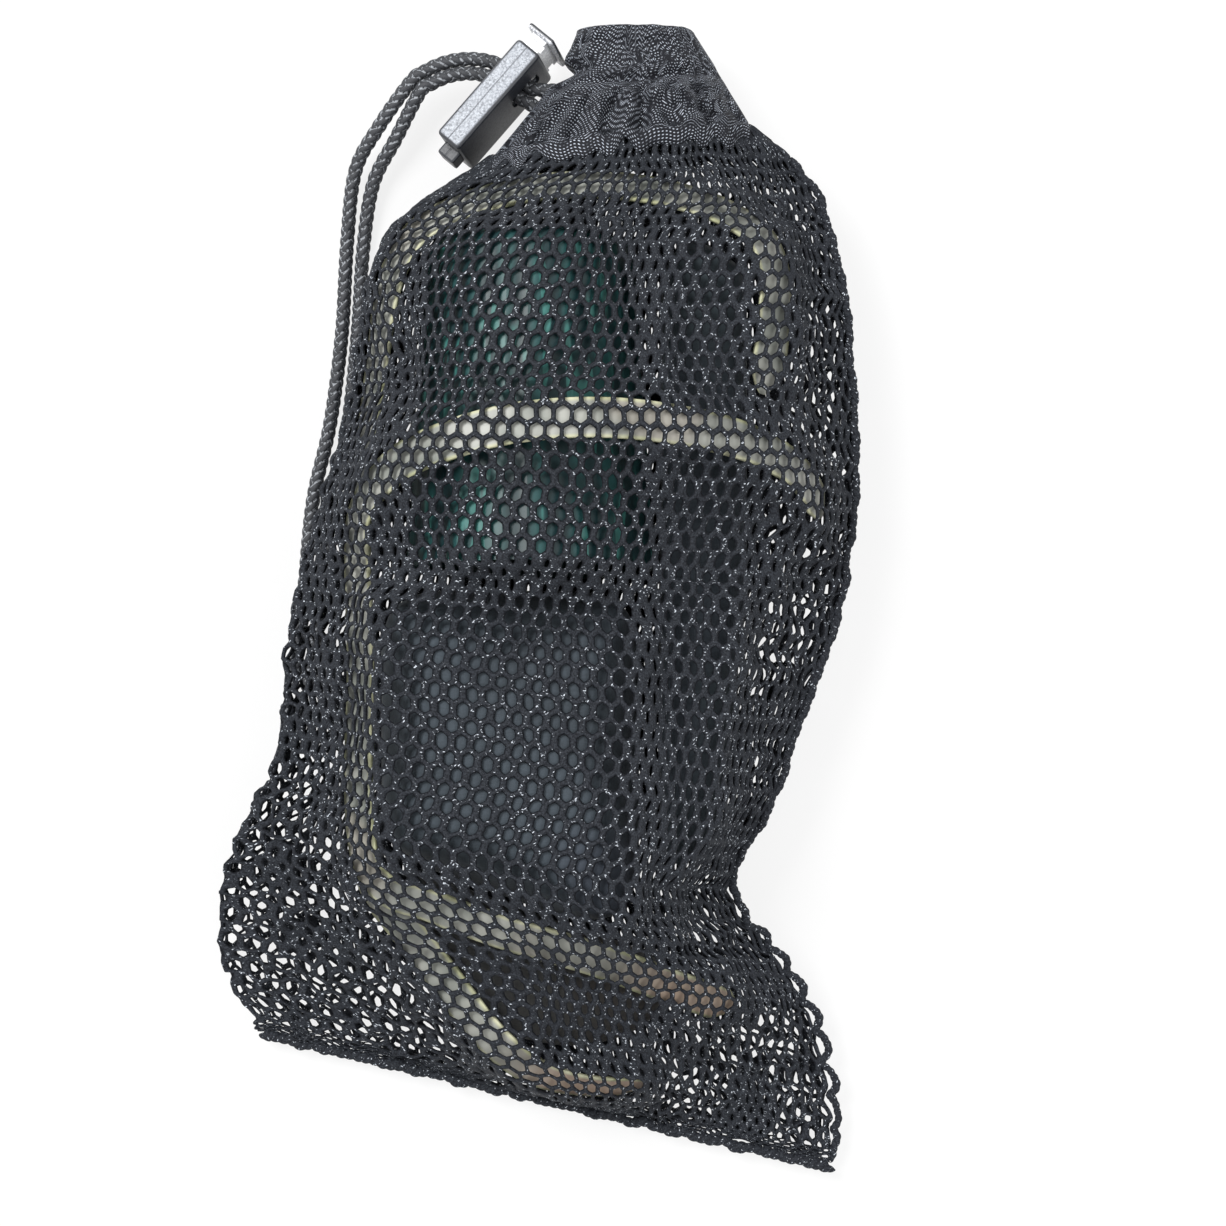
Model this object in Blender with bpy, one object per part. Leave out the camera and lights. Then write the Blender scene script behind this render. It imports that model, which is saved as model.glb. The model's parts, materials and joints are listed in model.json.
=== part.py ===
"""A drawstring mesh bag, drawn shut round stored kit and lying on its back.

Metres, +Z up. The bag lies on z = 0 with its mouth towards +Y, and the origin is
the middle of its underside. Lengths below are written in millimetres times MM.
"""

import math

import bmesh
import bpy
from mathutils import Matrix, Vector

MM = 0.001

# ---- Driving dimensions ----

BAG_WIDTH = 138.6 * MM  # across the net body at its widest
BAG_LENGTH = 227.6 * MM  # from the lower seam corner to the end of the net
BAG_HEIGHT = 62.0 * MM  # over the fullest part of the load
NET_WALL = 1.2 * MM
CLEARANCE = 0.3 * MM  # between pieces that touch

CORD_DIAMETER = 3.2 * MM
CORD_SPACING = 0.4 * MM  # between the two cords where they lie side by side
CORD_BORE_GAP = 0.55 * MM  # all round the cord in its channel
CORD_BEND_ROOM = 0.3 * MM  # more room in the lock's cord hole, because the cords bend in it

MOUTH_WIDTH = 20.0 * MM  # the hole left in the gathered mouth
MOUTH_HEIGHT = 8.0 * MM
MOUTH_PLACE = (20.0, 14.0)  # across the bag and up, where the hole runs through
PLEATS = 9
PLEAT_DEPTH = 1.6 * MM
CHANNEL_WALL = 1.9 * MM  # between the mouth's hole and the cord channel round it

SEAM_WIDTH = 3.0 * MM
SIDE_SEAM_WIDTH = 1.5 * MM
BOTTOM_SEAM_STEPS = 16
SEAM_THICKNESS = 2.2 * MM

LOCK_LENGTH = 27.0 * MM
LOCK_DEPTH = 15.0 * MM
LOCK_THICKNESS = 6.4 * MM
LOCK_SIDE_WALL = 1.0 * MM
LOCK_END_WALL = 1.3 * MM
LOCK_ROUNDING = 0.9 * MM
LOCK_FLOOR = 5.5 * MM  # solid at the closed end
LUG_LENGTH = 2.6 * MM
LUG_DEPTH = 4.6 * MM
LUG_ROUNDING = 0.5 * MM
BORE_FROM_TOP = 7.0 * MM  # the middle of the cord hole, below the lock's open end
BORE_ROUNDING = 1.2 * MM
LOCK_LEAN = math.radians(13.0)
LOCK_HEADING = math.radians(49.0)
PLUNGER_TRAVEL = 2.8 * MM
PLUNGER_GAP = 0.3 * MM
FLANGE_THICKNESS = 1.3 * MM
FLANGE_OVERHANG = 0.3 * MM  # beyond the lock's broad faces
FLANGE_SETBACK = 0.4 * MM  # inside the lock's narrow faces
FLANGE_ROUNDING = 0.45 * MM
RAIL_NOTCH = 1.4 * MM  # cut into each edge of the plunger's neck
NOTCH_FROM, NOTCH_TO = 0.8, 0.3  # where that notch starts and ends, in neck lengths below the flange
SPRING_WIRE = 0.5 * MM
SPRING_TURNS = 5.0
SPRING_STEPS = 14  # points in each turn
SPRING_ROOM = 5.4 * MM  # from the lock's floor to the plunger's foot
SLIDE_RADIUS = 17.0 * MM  # of the bend that the cords make out of the lock

KNOT_LENGTH = 9.2 * MM
KNOT_WIDTH = 7.2 * MM

BAND_WIDTH = 8.0 * MM
BAND_THICKNESS = 1.5 * MM
BAND_EDGE_SWELL = 1.06  # how much wider the band is at its mid-thickness than at its faces
CUP_TAPER = 4.5 * MM  # how much less the radius of its base is than that of its mouth
CUP_WALL = 1.6 * MM
CUP_BASE_ROUNDING = 3.0 * MM
CUP_CORNER_SHARE = 0.3  # how far in from its two tangent lines the rounding's middle lies
PAD_ROUNDING = 3.0 * MM
BASE_PAD_ROUNDING = 2.0 * MM

# The bag and its load are drawn in millimetres at this size, and stretched to the size above.
DRAWN = Vector((138.6, 227.6, 62.0))
STRETCH = Vector((BAG_WIDTH / DRAWN.x, BAG_LENGTH / DRAWN.y, BAG_HEIGHT / DRAWN.z)) / MM


# ---- Small helpers ----


def in_bag(x, y, z=0.0):
    """The place in metres of a point that is drawn on the bag or on its load."""
    return Vector((x * STRETCH.x, y * STRETCH.y, z * STRETCH.z)) * MM


def clear_scene():
    for old in list(bpy.data.objects):
        bpy.data.objects.remove(old, do_unlink=True)


def material(name, colour, roughness, metallic=0.0, alpha=1.0):
    made = bpy.data.materials.new(name)
    made.use_nodes = True
    shader = made.node_tree.nodes["Principled BSDF"]
    shader.inputs["Base Color"].default_value = (*colour, 1.0)
    shader.inputs["Roughness"].default_value = roughness
    shader.inputs["Metallic"].default_value = metallic
    shader.inputs["Alpha"].default_value = alpha
    return made


def mesh_object(name, points, faces, finish, sharp_angle=40.0):
    mesh = bpy.data.meshes.new(name)
    mesh.from_pydata([tuple(p) for p in points], [], faces)
    body = bmesh.new()
    body.from_mesh(mesh)
    bmesh.ops.recalc_face_normals(body, faces=body.faces)
    body.to_mesh(mesh)
    body.free()
    mesh.shade_smooth()
    mesh.set_sharp_from_angle(angle=math.radians(sharp_angle))
    mesh.materials.append(finish)
    made = bpy.data.objects.new(name, mesh)
    bpy.context.collection.objects.link(made)
    return made


def between(a, b, c, d, t):
    """The Catmull-Rom value at t of the span from b to c."""
    return 0.5 * (2 * b + (c - a) * t + (2 * a - 5 * b + 4 * c - d) * t**2 + (3 * b - a - 3 * c + d) * t**3)


def smooth(points, per_span):
    """A smooth curve through the points, with per_span samples for each span."""
    points = [Vector(p) for p in points]
    ends = [2 * points[0] - points[1], *points, 2 * points[-1] - points[-2]]
    curve = []
    for at in range(1, len(ends) - 2):
        for step in range(per_span):
            curve.append(between(*ends[at - 1 : at + 3], step / per_span))
    return [*curve, points[-1]]


def evenly(points, count):
    """The same curve as count points at equal distances along it."""
    travelled = [0.0]
    for before, after in zip(points, points[1:]):
        travelled.append(travelled[-1] + (after - before).length)
    spaced = []
    at = 0
    for number in range(count):
        target = travelled[-1] * number / (count - 1)
        while at < len(points) - 2 and travelled[at + 1] < target:
            at += 1
        share = (target - travelled[at]) / (travelled[at + 1] - travelled[at])
        spaced.append(points[at].lerp(points[at + 1], share))
    return spaced


def loft(rings, closed_start=True, closed_end=True):
    """Points and faces of a skin over equal rings, with flat or no ends."""
    count = len(rings[0])
    points = [p for ring in rings for p in ring]
    faces = []
    for at in range(len(rings) - 1):
        for corner in range(count):
            after = (corner + 1) % count
            low, high = at * count, (at + 1) * count
            faces.append((low + corner, low + after, high + after, high + corner))
    if closed_start:
        faces.append(tuple(range(count)))
    if closed_end:
        faces.append(tuple(range(len(points) - count, len(points))))
    return points, faces


def curve_object(name, points, diameter, finish, resolution=2):
    curve = bpy.data.curves.new(name, "CURVE")
    curve.dimensions = "3D"
    curve.bevel_depth = diameter / 2
    curve.bevel_resolution = resolution
    curve.use_fill_caps = True
    spline = curve.splines.new("POLY")
    spline.points.add(len(points) - 1)
    for knot, place in zip(spline.points, points):
        knot.co = (*place, 1.0)
    spline.use_smooth = True
    curve.materials.append(finish)
    made = bpy.data.objects.new(name, curve)
    bpy.context.collection.objects.link(made)
    return made


def cutter_from(made):
    """Turns a curve object into a mesh cutter of the same name."""
    bpy.context.view_layer.update()
    shape = made.evaluated_get(bpy.context.evaluated_depsgraph_get())
    mesh = bpy.data.meshes.new_from_object(shape)
    cutter = bpy.data.objects.new(made.name + "_cut", mesh)
    bpy.context.collection.objects.link(cutter)
    bpy.data.objects.remove(made, do_unlink=True)
    return as_guide(cutter)


def as_guide(made):
    made.hide_render = True
    made.display_type = "WIRE"
    return made


def cut(made, cutter, operation="DIFFERENCE"):
    change = made.modifiers.new(cutter.name, "BOOLEAN")
    change.operation = operation
    change.solver = "EXACT"
    change.object = cutter


def box(name, size, centre, finish, rounding=0.0, segments=2, frame=None):
    """A block of the given size, centred in its own frame, with rounded edges."""
    body = bmesh.new()
    bmesh.ops.create_cube(body, size=1.0)
    bmesh.ops.scale(body, vec=size, verts=body.verts)
    if rounding:
        bmesh.ops.bevel(
            body, geom=body.edges[:], offset=rounding, segments=segments, affect="EDGES", profile=0.5
        )
    bmesh.ops.translate(body, vec=centre, verts=body.verts)
    mesh = bpy.data.meshes.new(name)
    body.to_mesh(mesh)
    body.free()
    mesh.shade_smooth()
    mesh.set_sharp_from_angle(angle=math.radians(40.0))
    if finish:
        mesh.materials.append(finish)
    made = bpy.data.objects.new(name, mesh)
    bpy.context.collection.objects.link(made)
    if frame:
        made.matrix_world = frame
    return made


# ---- Finishes ----


def make_finishes():
    return {
        "net": material("net", (0.012, 0.012, 0.014), 0.75),
        "seam": material("seam", (0.010, 0.010, 0.012), 0.85),
        "casing": material("casing", (0.010, 0.010, 0.013), 0.70),
        "cord": material("cord", (0.014, 0.014, 0.015), 0.65),
        "lock": material("lock", (0.085, 0.09, 0.10), 0.45),
        "plunger": material("plunger", (0.72, 0.74, 0.76), 0.30),
        "spring": material("spring", (0.55, 0.56, 0.58), 0.25, metallic=1.0),
        "band": material("band", (0.24, 0.23, 0.16), 0.40),
        "pad": material("pad", (0.020, 0.026, 0.034), 0.60),
        "side_pad": material("side_pad", (0.012, 0.014, 0.018), 0.65),
        "cup": material("cup", (0.03, 0.20, 0.16), 0.25),
    }


# ---- Net body: sections from the bottom seam to the mouth ----

# Each section runs from its left edge to its right edge. Then come the height of its
# crown, the height of its edges, how square its left and right shoulders are, and where
# the crown lies between the edges, from -1 at the left to 1 at the right.
SECTIONS = [
    ((-61.6, -93.5), (64.5, -123.0), 15.0, 4.6, 1.5, 1.5, -0.05),
    ((-68.6, -82.0), (64.0, -108.0), 32.0, 5.5, 1.4, 1.4, -0.05),
    ((-70.2, -69.0), (59.0, -88.6), 45.0, 8.0, 1.5, 1.6, -0.05),
    ((-66.5, -51.5), (49.0, -73.0), 54.0, 12.0, 1.9, 2.1, -0.05),
    ((-58.5, -37.5), (40.6, -61.5), 56.0, 16.0, 2.1, 2.8, 0.0),
    ((-54.6, -24.5), (48.5, -45.5), 57.5, 18.0, 2.3, 2.6, -0.05),
    ((-54.0, -10.0), (56.0, -26.0), 58.0, 18.0, 2.4, 2.3, -0.15),
    ((-51.5, 4.0), (64.6, -1.0), 60.0, 18.0, 2.4, 2.1, -0.2),
    ((-46.4, 23.0), (68.4, 23.0), 61.5, 18.0, 2.5, 2.1, -0.2),
    ((-40.0, 45.0), (67.8, 46.0), 62.0, 18.0, 2.6, 2.2, -0.2),
    ((-37.6, 64.0), (66.0, 68.0), 60.0, 18.0, 2.6, 2.3, -0.15),
    ((-32.6, 80.0), (61.0, 87.0), 55.5, 17.0, 2.5, 2.3, -0.1),
    ((-21.0, 90.5), (54.0, 98.5), 44.0, 16.0, 2.2, 2.2, 0.0),
    ((-10.5, 97.4), (46.0, 104.6), 31.0, 15.0, 2.0, 2.0, 0.0),
]
SECTION_STEPS = 2
RING_POINTS = 40
FLAT_LEFT, FLAT_RIGHT = 0.58, 0.82  # how much of each half of the underside lies flat
SEAM_SAG = 2.6 * MM  # how far the bottom seam bows out between its corners
SEAM_SAG_REACH = 3  # sections over which that bow dies away
WAIST = 4  # the section at which the net's two lengths meet
# The net is one tube, made in two lengths: each has the sections that it runs between.
NET_LENGTHS = (("net_foot", 0, WAIST), ("net_body", WAIST, len(SECTIONS) - 1))


def section_values():
    """The sections as smooth rows of numbers: edges, crown, edge height, shoulders, crown place."""
    rows = []
    for left, right, crown, edge, left_square, right_square, crown_at in SECTIONS:
        rows.append((*left, *right, crown, edge, left_square, right_square, crown_at))
    ends = [rows[0], *rows, rows[-1]]
    values = []
    for at in range(1, len(ends) - 2):
        for step in range(SECTION_STEPS):
            spans = zip(*ends[at - 1 : at + 3])
            values.append([between(*span, step / SECTION_STEPS) for span in spans])
    return [*values, list(rows[-1])]


def section_ring(row, inset, bow):
    """One closed ring: the top from left to right, then the underside back."""
    left = in_bag(row[0], row[1])
    right = in_bag(row[2], row[3])
    crown = in_bag(0, 0, row[4]).z - inset
    edge_height = in_bag(0, 0, row[5]).z
    across = (right - left).normalized()
    out = Vector((across.y, -across.x, 0.0))
    peak = left.lerp(right, (row[8] + 1) / 2)
    left_reach = (peak - left).length - inset
    right_reach = (right - peak).length - inset
    ring = []
    for number in range(RING_POINTS):
        angle = math.pi - 2 * math.pi * number / RING_POINTS
        turn, rise = math.cos(angle), math.sin(angle)
        reach = right_reach if turn > 0 else left_reach
        if rise >= 0:
            square = row[7] if turn > 0 else row[6]
            along = math.copysign(abs(turn) ** (2 / square), turn) * reach
            height = edge_height + rise ** (2 / square) * (crown - edge_height)
        else:
            flat = FLAT_RIGHT if turn > 0 else FLAT_LEFT
            along = turn * reach
            rolled = max(0.0, (abs(turn) - flat) / (1 - flat))
            height = edge_height - math.sqrt(1 - rolled**2) * (edge_height - inset)
        whole = (peak - left).length + along
        share = whole / (right - left).length
        bulge = bow * math.sin(math.pi * min(max(share, 0.0), 1.0))
        ring.append(peak + across * along + out * bulge + Vector((0, 0, height)))
    return ring


def net_rings(inset):
    rows = section_values()
    rings = []
    for number, row in enumerate(rows):
        fade = max(0.0, 1 - number / (SEAM_SAG_REACH * SECTION_STEPS))
        rings.append(section_ring(row, inset, SEAM_SAG * fade))
    return rings


def move_ring(ring, distance, towards):
    """The ring moved by the distance in the direction of another ring's middle."""
    here = sum(ring, Vector()) / len(ring)
    there = sum(towards, Vector()) / len(towards)
    return [p + (there - here).normalized() * distance for p in ring]


def make_net_length(name, outer, inner, span, finish):
    """One length of the net's shell. The one that starts at the bottom seam is closed there."""
    first, last = (section * SECTION_STEPS for section in span)
    walls = []
    for rings in (outer, inner):
        length = rings[first : last + 1]
        if first > 0:
            length[0] = move_ring(length[0], CLEARANCE / 2, length[1])
        if last < len(rings) - 1:
            length[-1] = move_ring(length[-1], CLEARANCE / 2, length[-2])
        walls.append(length)
    rings = [*walls[0], *reversed(walls[1])]
    points, faces = loft(rings, closed_start=False, closed_end=False)
    base = (len(rings) - 1) * RING_POINTS
    if first > 0:
        for corner in range(RING_POINTS):
            after = (corner + 1) % RING_POINTS
            faces.append((base + corner, base + after, after, corner))
        return mesh_object(name, points, faces, finish)
    half = RING_POINTS // 2
    for ring in (0, base):
        faces.append((ring, ring + 1, ring + RING_POINTS - 1))
        for number in range(1, half - 1):
            back = RING_POINTS - number
            faces.append((ring + number, ring + number + 1, ring + back - 1, ring + back))
        faces.append((ring + half - 1, ring + half, ring + half + 1))
    return mesh_object(name, points, faces, finish)


def make_net(finish):
    outer = net_rings(0.0)
    inner = net_rings(NET_WALL)
    inner[0] = move_ring(inner[0], NET_WALL, inner[2])
    for name, *span in NET_LENGTHS:
        make_net_length(name, outer, inner, span, finish)


# ---- Seams ----


RIDGE_EDGE = 0.55  # of a seam's thickness, left at its edges


def ridge(name, path, outward, width, finish):
    """A flat ridge laid along a path, standing out from it by its width."""
    rings = []
    for place, out in zip(path, outward):
        inner = place + out * CLEARANCE
        outer = place + out * (CLEARANCE + width)
        lift = Vector((0, 0, SEAM_THICKNESS / 2))
        middle = (inner + outer) / 2
        corner = lift * RIDGE_EDGE
        rings.append(
            [
                inner - corner,
                middle - lift,
                outer - corner,
                outer + corner,
                middle + lift,
                inner + corner,
            ]
        )
    points, faces = loft(rings)
    return mesh_object(name, points, faces, finish, sharp_angle=60.0)


def bottom_seam_path():
    ring = net_rings(0.0)[0]
    half = RING_POINTS // 2
    top = ring[: half + 1]
    across = (top[-1] - top[0]).normalized()
    out = Vector((across.y, -across.x, 0.0))
    height = in_bag(0, 0, SECTIONS[0][3]).z
    path = []
    for number in range(BOTTOM_SEAM_STEPS + 1):
        share = number / BOTTOM_SEAM_STEPS
        bulge = SEAM_SAG * math.sin(math.pi * share)
        place = top[0].lerp(top[-1], share) + out * bulge
        path.append(Vector((place.x, place.y, height)))
    return path, [out] * len(path)


def side_seam_path():
    rings = net_rings(0.0)
    half = RING_POINTS // 2
    edge = [ring[half] for ring in rings]
    outs = []
    for at, place in enumerate(edge):
        before = edge[max(at - 1, 0)]
        after = edge[min(at + 1, len(edge) - 1)]
        along = (after - before).normalized()
        outs.append(Vector((along.y, -along.x, 0.0)).normalized())
    return edge, outs


# ---- Gathered casing and hem ----

CASING_START = ((-10.5, 97.4), (46.0, 104.6), 31.0, 0.6)
CASING_END = ((3.8, 115.2), (38.8, 117.0), 25.0, 1.6)
HEM_END = ((8.0, 124.6), (33.6, 125.3), 23.0, 3.0)


def mouth_end(end):
    """Left, right, top and foot of one end of a gathered length, in metres."""
    left, right, top, foot = end
    return in_bag(*left), in_bag(*right), in_bag(0, 0, top).z, in_bag(0, 0, foot).z


def oval(centre, across, reach, rise, pleat=0.0):
    """An upright oval ring round a centre, its radius let in by up to pleat at each fold."""
    ring = []
    for number in range(RING_POINTS):
        angle = math.pi - 2 * math.pi * number / RING_POINTS
        fold = pleat * (1 - math.cos(PLEATS * angle)) / 2
        sideways = across * math.cos(angle) * (reach - fold)
        ring.append(centre + sideways + Vector((0, 0, math.sin(angle) * (rise - fold))))
    return ring


def gathered_tube(name, start, end, offset, finish):
    """A thick pleated length of the gathered mouth, with the mouth's hole through it."""
    outer, inner = [], []
    shift = Vector((0, offset, 0))
    start, end = mouth_end(start), mouth_end(end)
    for share in (0.0, 0.25, 0.5, 0.75, 1.0):
        left, right = start[0].lerp(end[0], share), start[1].lerp(end[1], share)
        top = start[2] + (end[2] - start[2]) * share
        foot = start[3] + (end[3] - start[3]) * share
        across = (right - left).normalized()
        centre = (left + right) / 2 + Vector((0, 0, (top + foot) / 2)) + shift
        outer.append(oval(centre, across, (right - left).length / 2, (top - foot) / 2, PLEAT_DEPTH))
        hole = Vector((in_bag(MOUTH_PLACE[0], 0).x, centre.y, in_bag(0, 0, MOUTH_PLACE[1]).z))
        inner.append(oval(hole, across, MOUTH_WIDTH / 2, MOUTH_HEIGHT / 2))
    rings = [*outer, *reversed(inner)]
    points, faces = loft(rings, closed_start=False, closed_end=False)
    last = (len(rings) - 1) * RING_POINTS
    for corner in range(RING_POINTS):
        after = (corner + 1) % RING_POINTS
        faces.append((corner, after, last + after, last + corner))
    return mesh_object(name, points, faces, finish)


# ---- Cord ----

LOCK_BORE_CENTRE = Vector((-4.9, 114.6, 13.2)) * MM
along_lock = Vector((math.cos(LOCK_HEADING), math.sin(LOCK_HEADING), 0.0))
level_bore = Vector((math.sin(LOCK_HEADING), -math.cos(LOCK_HEADING), 0.0))
bore_way = (level_bore * math.cos(LOCK_LEAN) + Vector((0, 0, 1)) * math.sin(LOCK_LEAN)).normalized()
slide_axis = (Vector((0, 0, 1)) * math.cos(LOCK_LEAN) - level_bore * math.sin(LOCK_LEAN)).normalized()
slide_centre = LOCK_BORE_CENTRE - along_lock * SLIDE_RADIUS


def bend(radius, degrees):
    """A point of the bend that the cords make through and beyond the lock."""
    angle = math.radians(degrees)
    return slide_centre + radius * (math.cos(angle) * along_lock - math.sin(angle) * bore_way)


# The free run of each cord after its bend, down to the surface, along the bag's left
# side and into the knot.
OUTER_RUN = [
    (-35.4, 105.6, 6.9),
    (-40.6, 96.5, 4.2),
    (-42.6, 81.0, 2.1),
    (-43.8, 61.0, 1.7),
    (-46.4, 41.0, 1.7),
    (-50.2, 24.0, 1.7),
    (-52.0, 6.0, 1.7),
    (-53.4, -9.0, 1.7),
    (-55.2, -18.9, 3.0),
]
INNER_RUN = [
    (-31.4, 103.5, 6.4),
    (-36.6, 94.0, 3.8),
    (-39.0, 80.0, 2.0),
    (-40.3, 61.0, 1.7),
    (-42.4, 41.0, 1.7),
    (-45.6, 24.0, 1.7),
    (-48.2, 7.0, 1.7),
    (-49.7, -7.0, 1.7),
    (-51.5, -18.9, 3.4),
]
KNOT_CENTRE = Vector((-53.5, -23.9, 3.9)) * MM
CORD_POINTS = 46
LOOP_POINTS = 34
LOOP_LEAD = 1.6 * MM  # straight on from each tail before the loop bends
LOOP_ARC = 280  # degrees that the loop turns round the mouth
LOOP_STEP = 28  # degrees between the points it is drawn through
LOOP_ASIDE = 0.6  # its middle lies this much to the right of the mouth's, on the bag's plan
CHANNEL_POINTS = 5  # points of each tail that lie in the casing
BEND_STOPS = (-12, 0, 14, 28, 42, 56, 70, 82)  # degrees round the bend through the lock
CORD_PITCH = CORD_DIAMETER + CORD_SPACING
CHANNEL_DIAMETER = CORD_DIAMETER + 2 * CORD_BORE_GAP


OUTER_ENTRY = Vector((5.0, 112.3, 15.0)) * MM  # where each tail meets the cord in the casing
INNER_ENTRY = Vector((2.0, 107.8, 13.6)) * MM


def tail_points(radius, run, entry):
    """One cord from the casing, round its bend through the lock, to the knot."""
    route = [entry]
    for degrees in BEND_STOPS:
        route.append(bend(radius, degrees))
    route += [Vector(place) * MM for place in run]
    return evenly(smooth(route, 5), CORD_POINTS)


def loop_points(outer_way, inner_way):
    """The cord round the mouth, from one way out of the casing to the other."""
    middle = in_bag(MOUTH_PLACE[0] + LOOP_ASIDE, 0, MOUTH_PLACE[1])
    beyond = CHANNEL_WALL + CHANNEL_DIAMETER / 2
    reach = MOUTH_WIDTH / 2 + beyond
    rise = MOUTH_HEIGHT / 2 + beyond
    start = OUTER_ENTRY + outer_way * CLEARANCE * 2
    end = INNER_ENTRY + inner_way * CLEARANCE * 2
    route = [start, start + outer_way * LOOP_LEAD]
    half_arc = LOOP_ARC // 2
    for degrees in range(half_arc, -half_arc - 1, -LOOP_STEP):
        angle = math.radians(degrees)
        along_bag = start.y + (end.y - start.y) * (half_arc - degrees) / LOOP_ARC
        x = middle.x + math.cos(angle) * reach
        route.append(Vector((x, along_bag, middle.z + math.sin(angle) * rise)))
    route += [end + inner_way * LOOP_LEAD, end]
    return evenly(smooth(route, 6), LOOP_POINTS)


# ---- Cord lock ----


def lock_turn():
    """Local X runs along the lock to its plunger, and Z up its depth, along the slide's axis."""
    return Matrix((along_lock, slide_axis.cross(along_lock), slide_axis)).transposed().to_4x4()


def lock_frame():
    """The lock's own frame, whose origin is the middle of its body."""
    centre = LOCK_BORE_CENTRE + along_lock * (BORE_FROM_TOP - LOCK_LENGTH / 2)
    return Matrix.Translation(centre) @ lock_turn()


CAVITY_FLOOR = LOCK_FLOOR - LOCK_LENGTH / 2  # along the lock, from its middle
CAVITY_WIDTH = LOCK_THICKNESS - 2 * LOCK_SIDE_WALL
CAVITY_HEIGHT = LOCK_DEPTH - 2 * LOCK_END_WALL
BORE_AT = LOCK_LENGTH / 2 - BORE_FROM_TOP
BORE_SPAN = CORD_PITCH + CORD_DIAMETER + 2 * (CORD_BORE_GAP + CORD_BEND_ROOM)
BORE_RISE = CORD_DIAMETER + 2 * CORD_BORE_GAP
NECK_LENGTH = PLUNGER_TRAVEL + PLUNGER_GAP
PLUNGER_FOOT = CAVITY_FLOOR + SPRING_ROOM


def placed_box(name, low, high, finish, rounding=0.0, segments=2, guide=False):
    size = [b - a for a, b in zip(low, high)]
    centre = [(a + b) / 2 for a, b in zip(low, high)]
    made = box(name, size, centre, finish, rounding, segments, lock_frame())
    return as_guide(made) if guide else made


def make_lock_body(finish):
    half = LOCK_LENGTH / 2
    side, deep = LOCK_THICKNESS / 2, LOCK_DEPTH / 2
    body = placed_box(
        "lock_body", (-half, -side, -deep), (half, side, deep), finish, LOCK_ROUNDING, 3
    )
    lug_side = side - LOCK_ROUNDING
    lug = placed_box(
        "lock_lug",
        (-half - LUG_LENGTH, -lug_side, -LUG_DEPTH / 2),
        (-half + LOCK_ROUNDING, lug_side, LUG_DEPTH / 2),
        None,
        LUG_ROUNDING,
        2,
        guide=True,
    )
    cut(body, lug, "UNION")
    cavity = placed_box(
        "lock_cavity",
        (CAVITY_FLOOR, -CAVITY_WIDTH / 2, -CAVITY_HEIGHT / 2),
        (LOCK_LENGTH, CAVITY_WIDTH / 2, CAVITY_HEIGHT / 2),
        None,
        guide=True,
    )
    cut(body, cavity)
    bore = placed_box(
        "lock_bore",
        (BORE_AT - BORE_SPAN / 2, -LOCK_THICKNESS, -BORE_RISE / 2),
        (BORE_AT + BORE_SPAN / 2, LOCK_THICKNESS, BORE_RISE / 2),
        None,
        BORE_ROUNDING,
        3,
        guide=True,
    )
    cut(body, bore)
    return body


def make_plunger(finish):
    top = LOCK_LENGTH / 2 + NECK_LENGTH
    wide = CAVITY_WIDTH / 2 - PLUNGER_GAP
    tall = CAVITY_HEIGHT / 2 - PLUNGER_GAP
    flange_wide = LOCK_THICKNESS / 2 + FLANGE_OVERHANG
    flange_tall = LOCK_DEPTH / 2 - FLANGE_SETBACK
    flange_top = top + FLANGE_THICKNESS
    stem_top = top + FLANGE_THICKNESS / 4
    stem = placed_box("plunger", (PLUNGER_FOOT, -wide, -tall), (stem_top, wide, tall), finish)
    flange = placed_box(
        "plunger_flange",
        (top, -flange_wide, -flange_tall),
        (flange_top, flange_wide, flange_tall),
        None,
        FLANGE_ROUNDING,
        2,
        guide=True,
    )
    cut(stem, flange, "UNION")
    slot = placed_box(
        "plunger_slot",
        (BORE_AT - BORE_SPAN / 2, -LOCK_THICKNESS, -BORE_RISE / 2),
        (BORE_AT + BORE_SPAN / 2 + PLUNGER_TRAVEL, LOCK_THICKNESS, BORE_RISE / 2),
        None,
        guide=True,
    )
    cut(stem, slot)
    for side in (-1, 1):
        near, far = sorted((side * (tall - RAIL_NOTCH), side * (tall + RAIL_NOTCH)))
        notch = placed_box(
            "plunger_notch_low" if side < 0 else "plunger_notch_high",
            (top - NECK_LENGTH * NOTCH_FROM, -LOCK_THICKNESS, near),
            (top - NECK_LENGTH * NOTCH_TO, LOCK_THICKNESS, far),
            None,
            guide=True,
        )
        cut(stem, notch)
    return stem


def make_spring(finish):
    """A round-wire coil between the cavity's floor and the plunger's foot."""
    low = CAVITY_FLOOR + CLEARANCE
    high = PLUNGER_FOOT - CLEARANCE
    reach = CAVITY_WIDTH / 2 - CLEARANCE - SPRING_WIRE / 2
    steps = int(SPRING_TURNS * SPRING_STEPS)
    frame = lock_frame()
    points = []
    for step in range(steps + 1):
        share = step / steps
        angle = 2 * math.pi * SPRING_TURNS * share
        along = low + SPRING_WIRE / 2 + (high - low - SPRING_WIRE) * share
        points.append(frame @ Vector((along, math.cos(angle) * reach, math.sin(angle) * reach)))
    return curve_object("spring", points, SPRING_WIRE, finish, resolution=1)


# ---- Stored kit ----

KIT_FLOOR = NET_WALL + CLEARANCE


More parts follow.
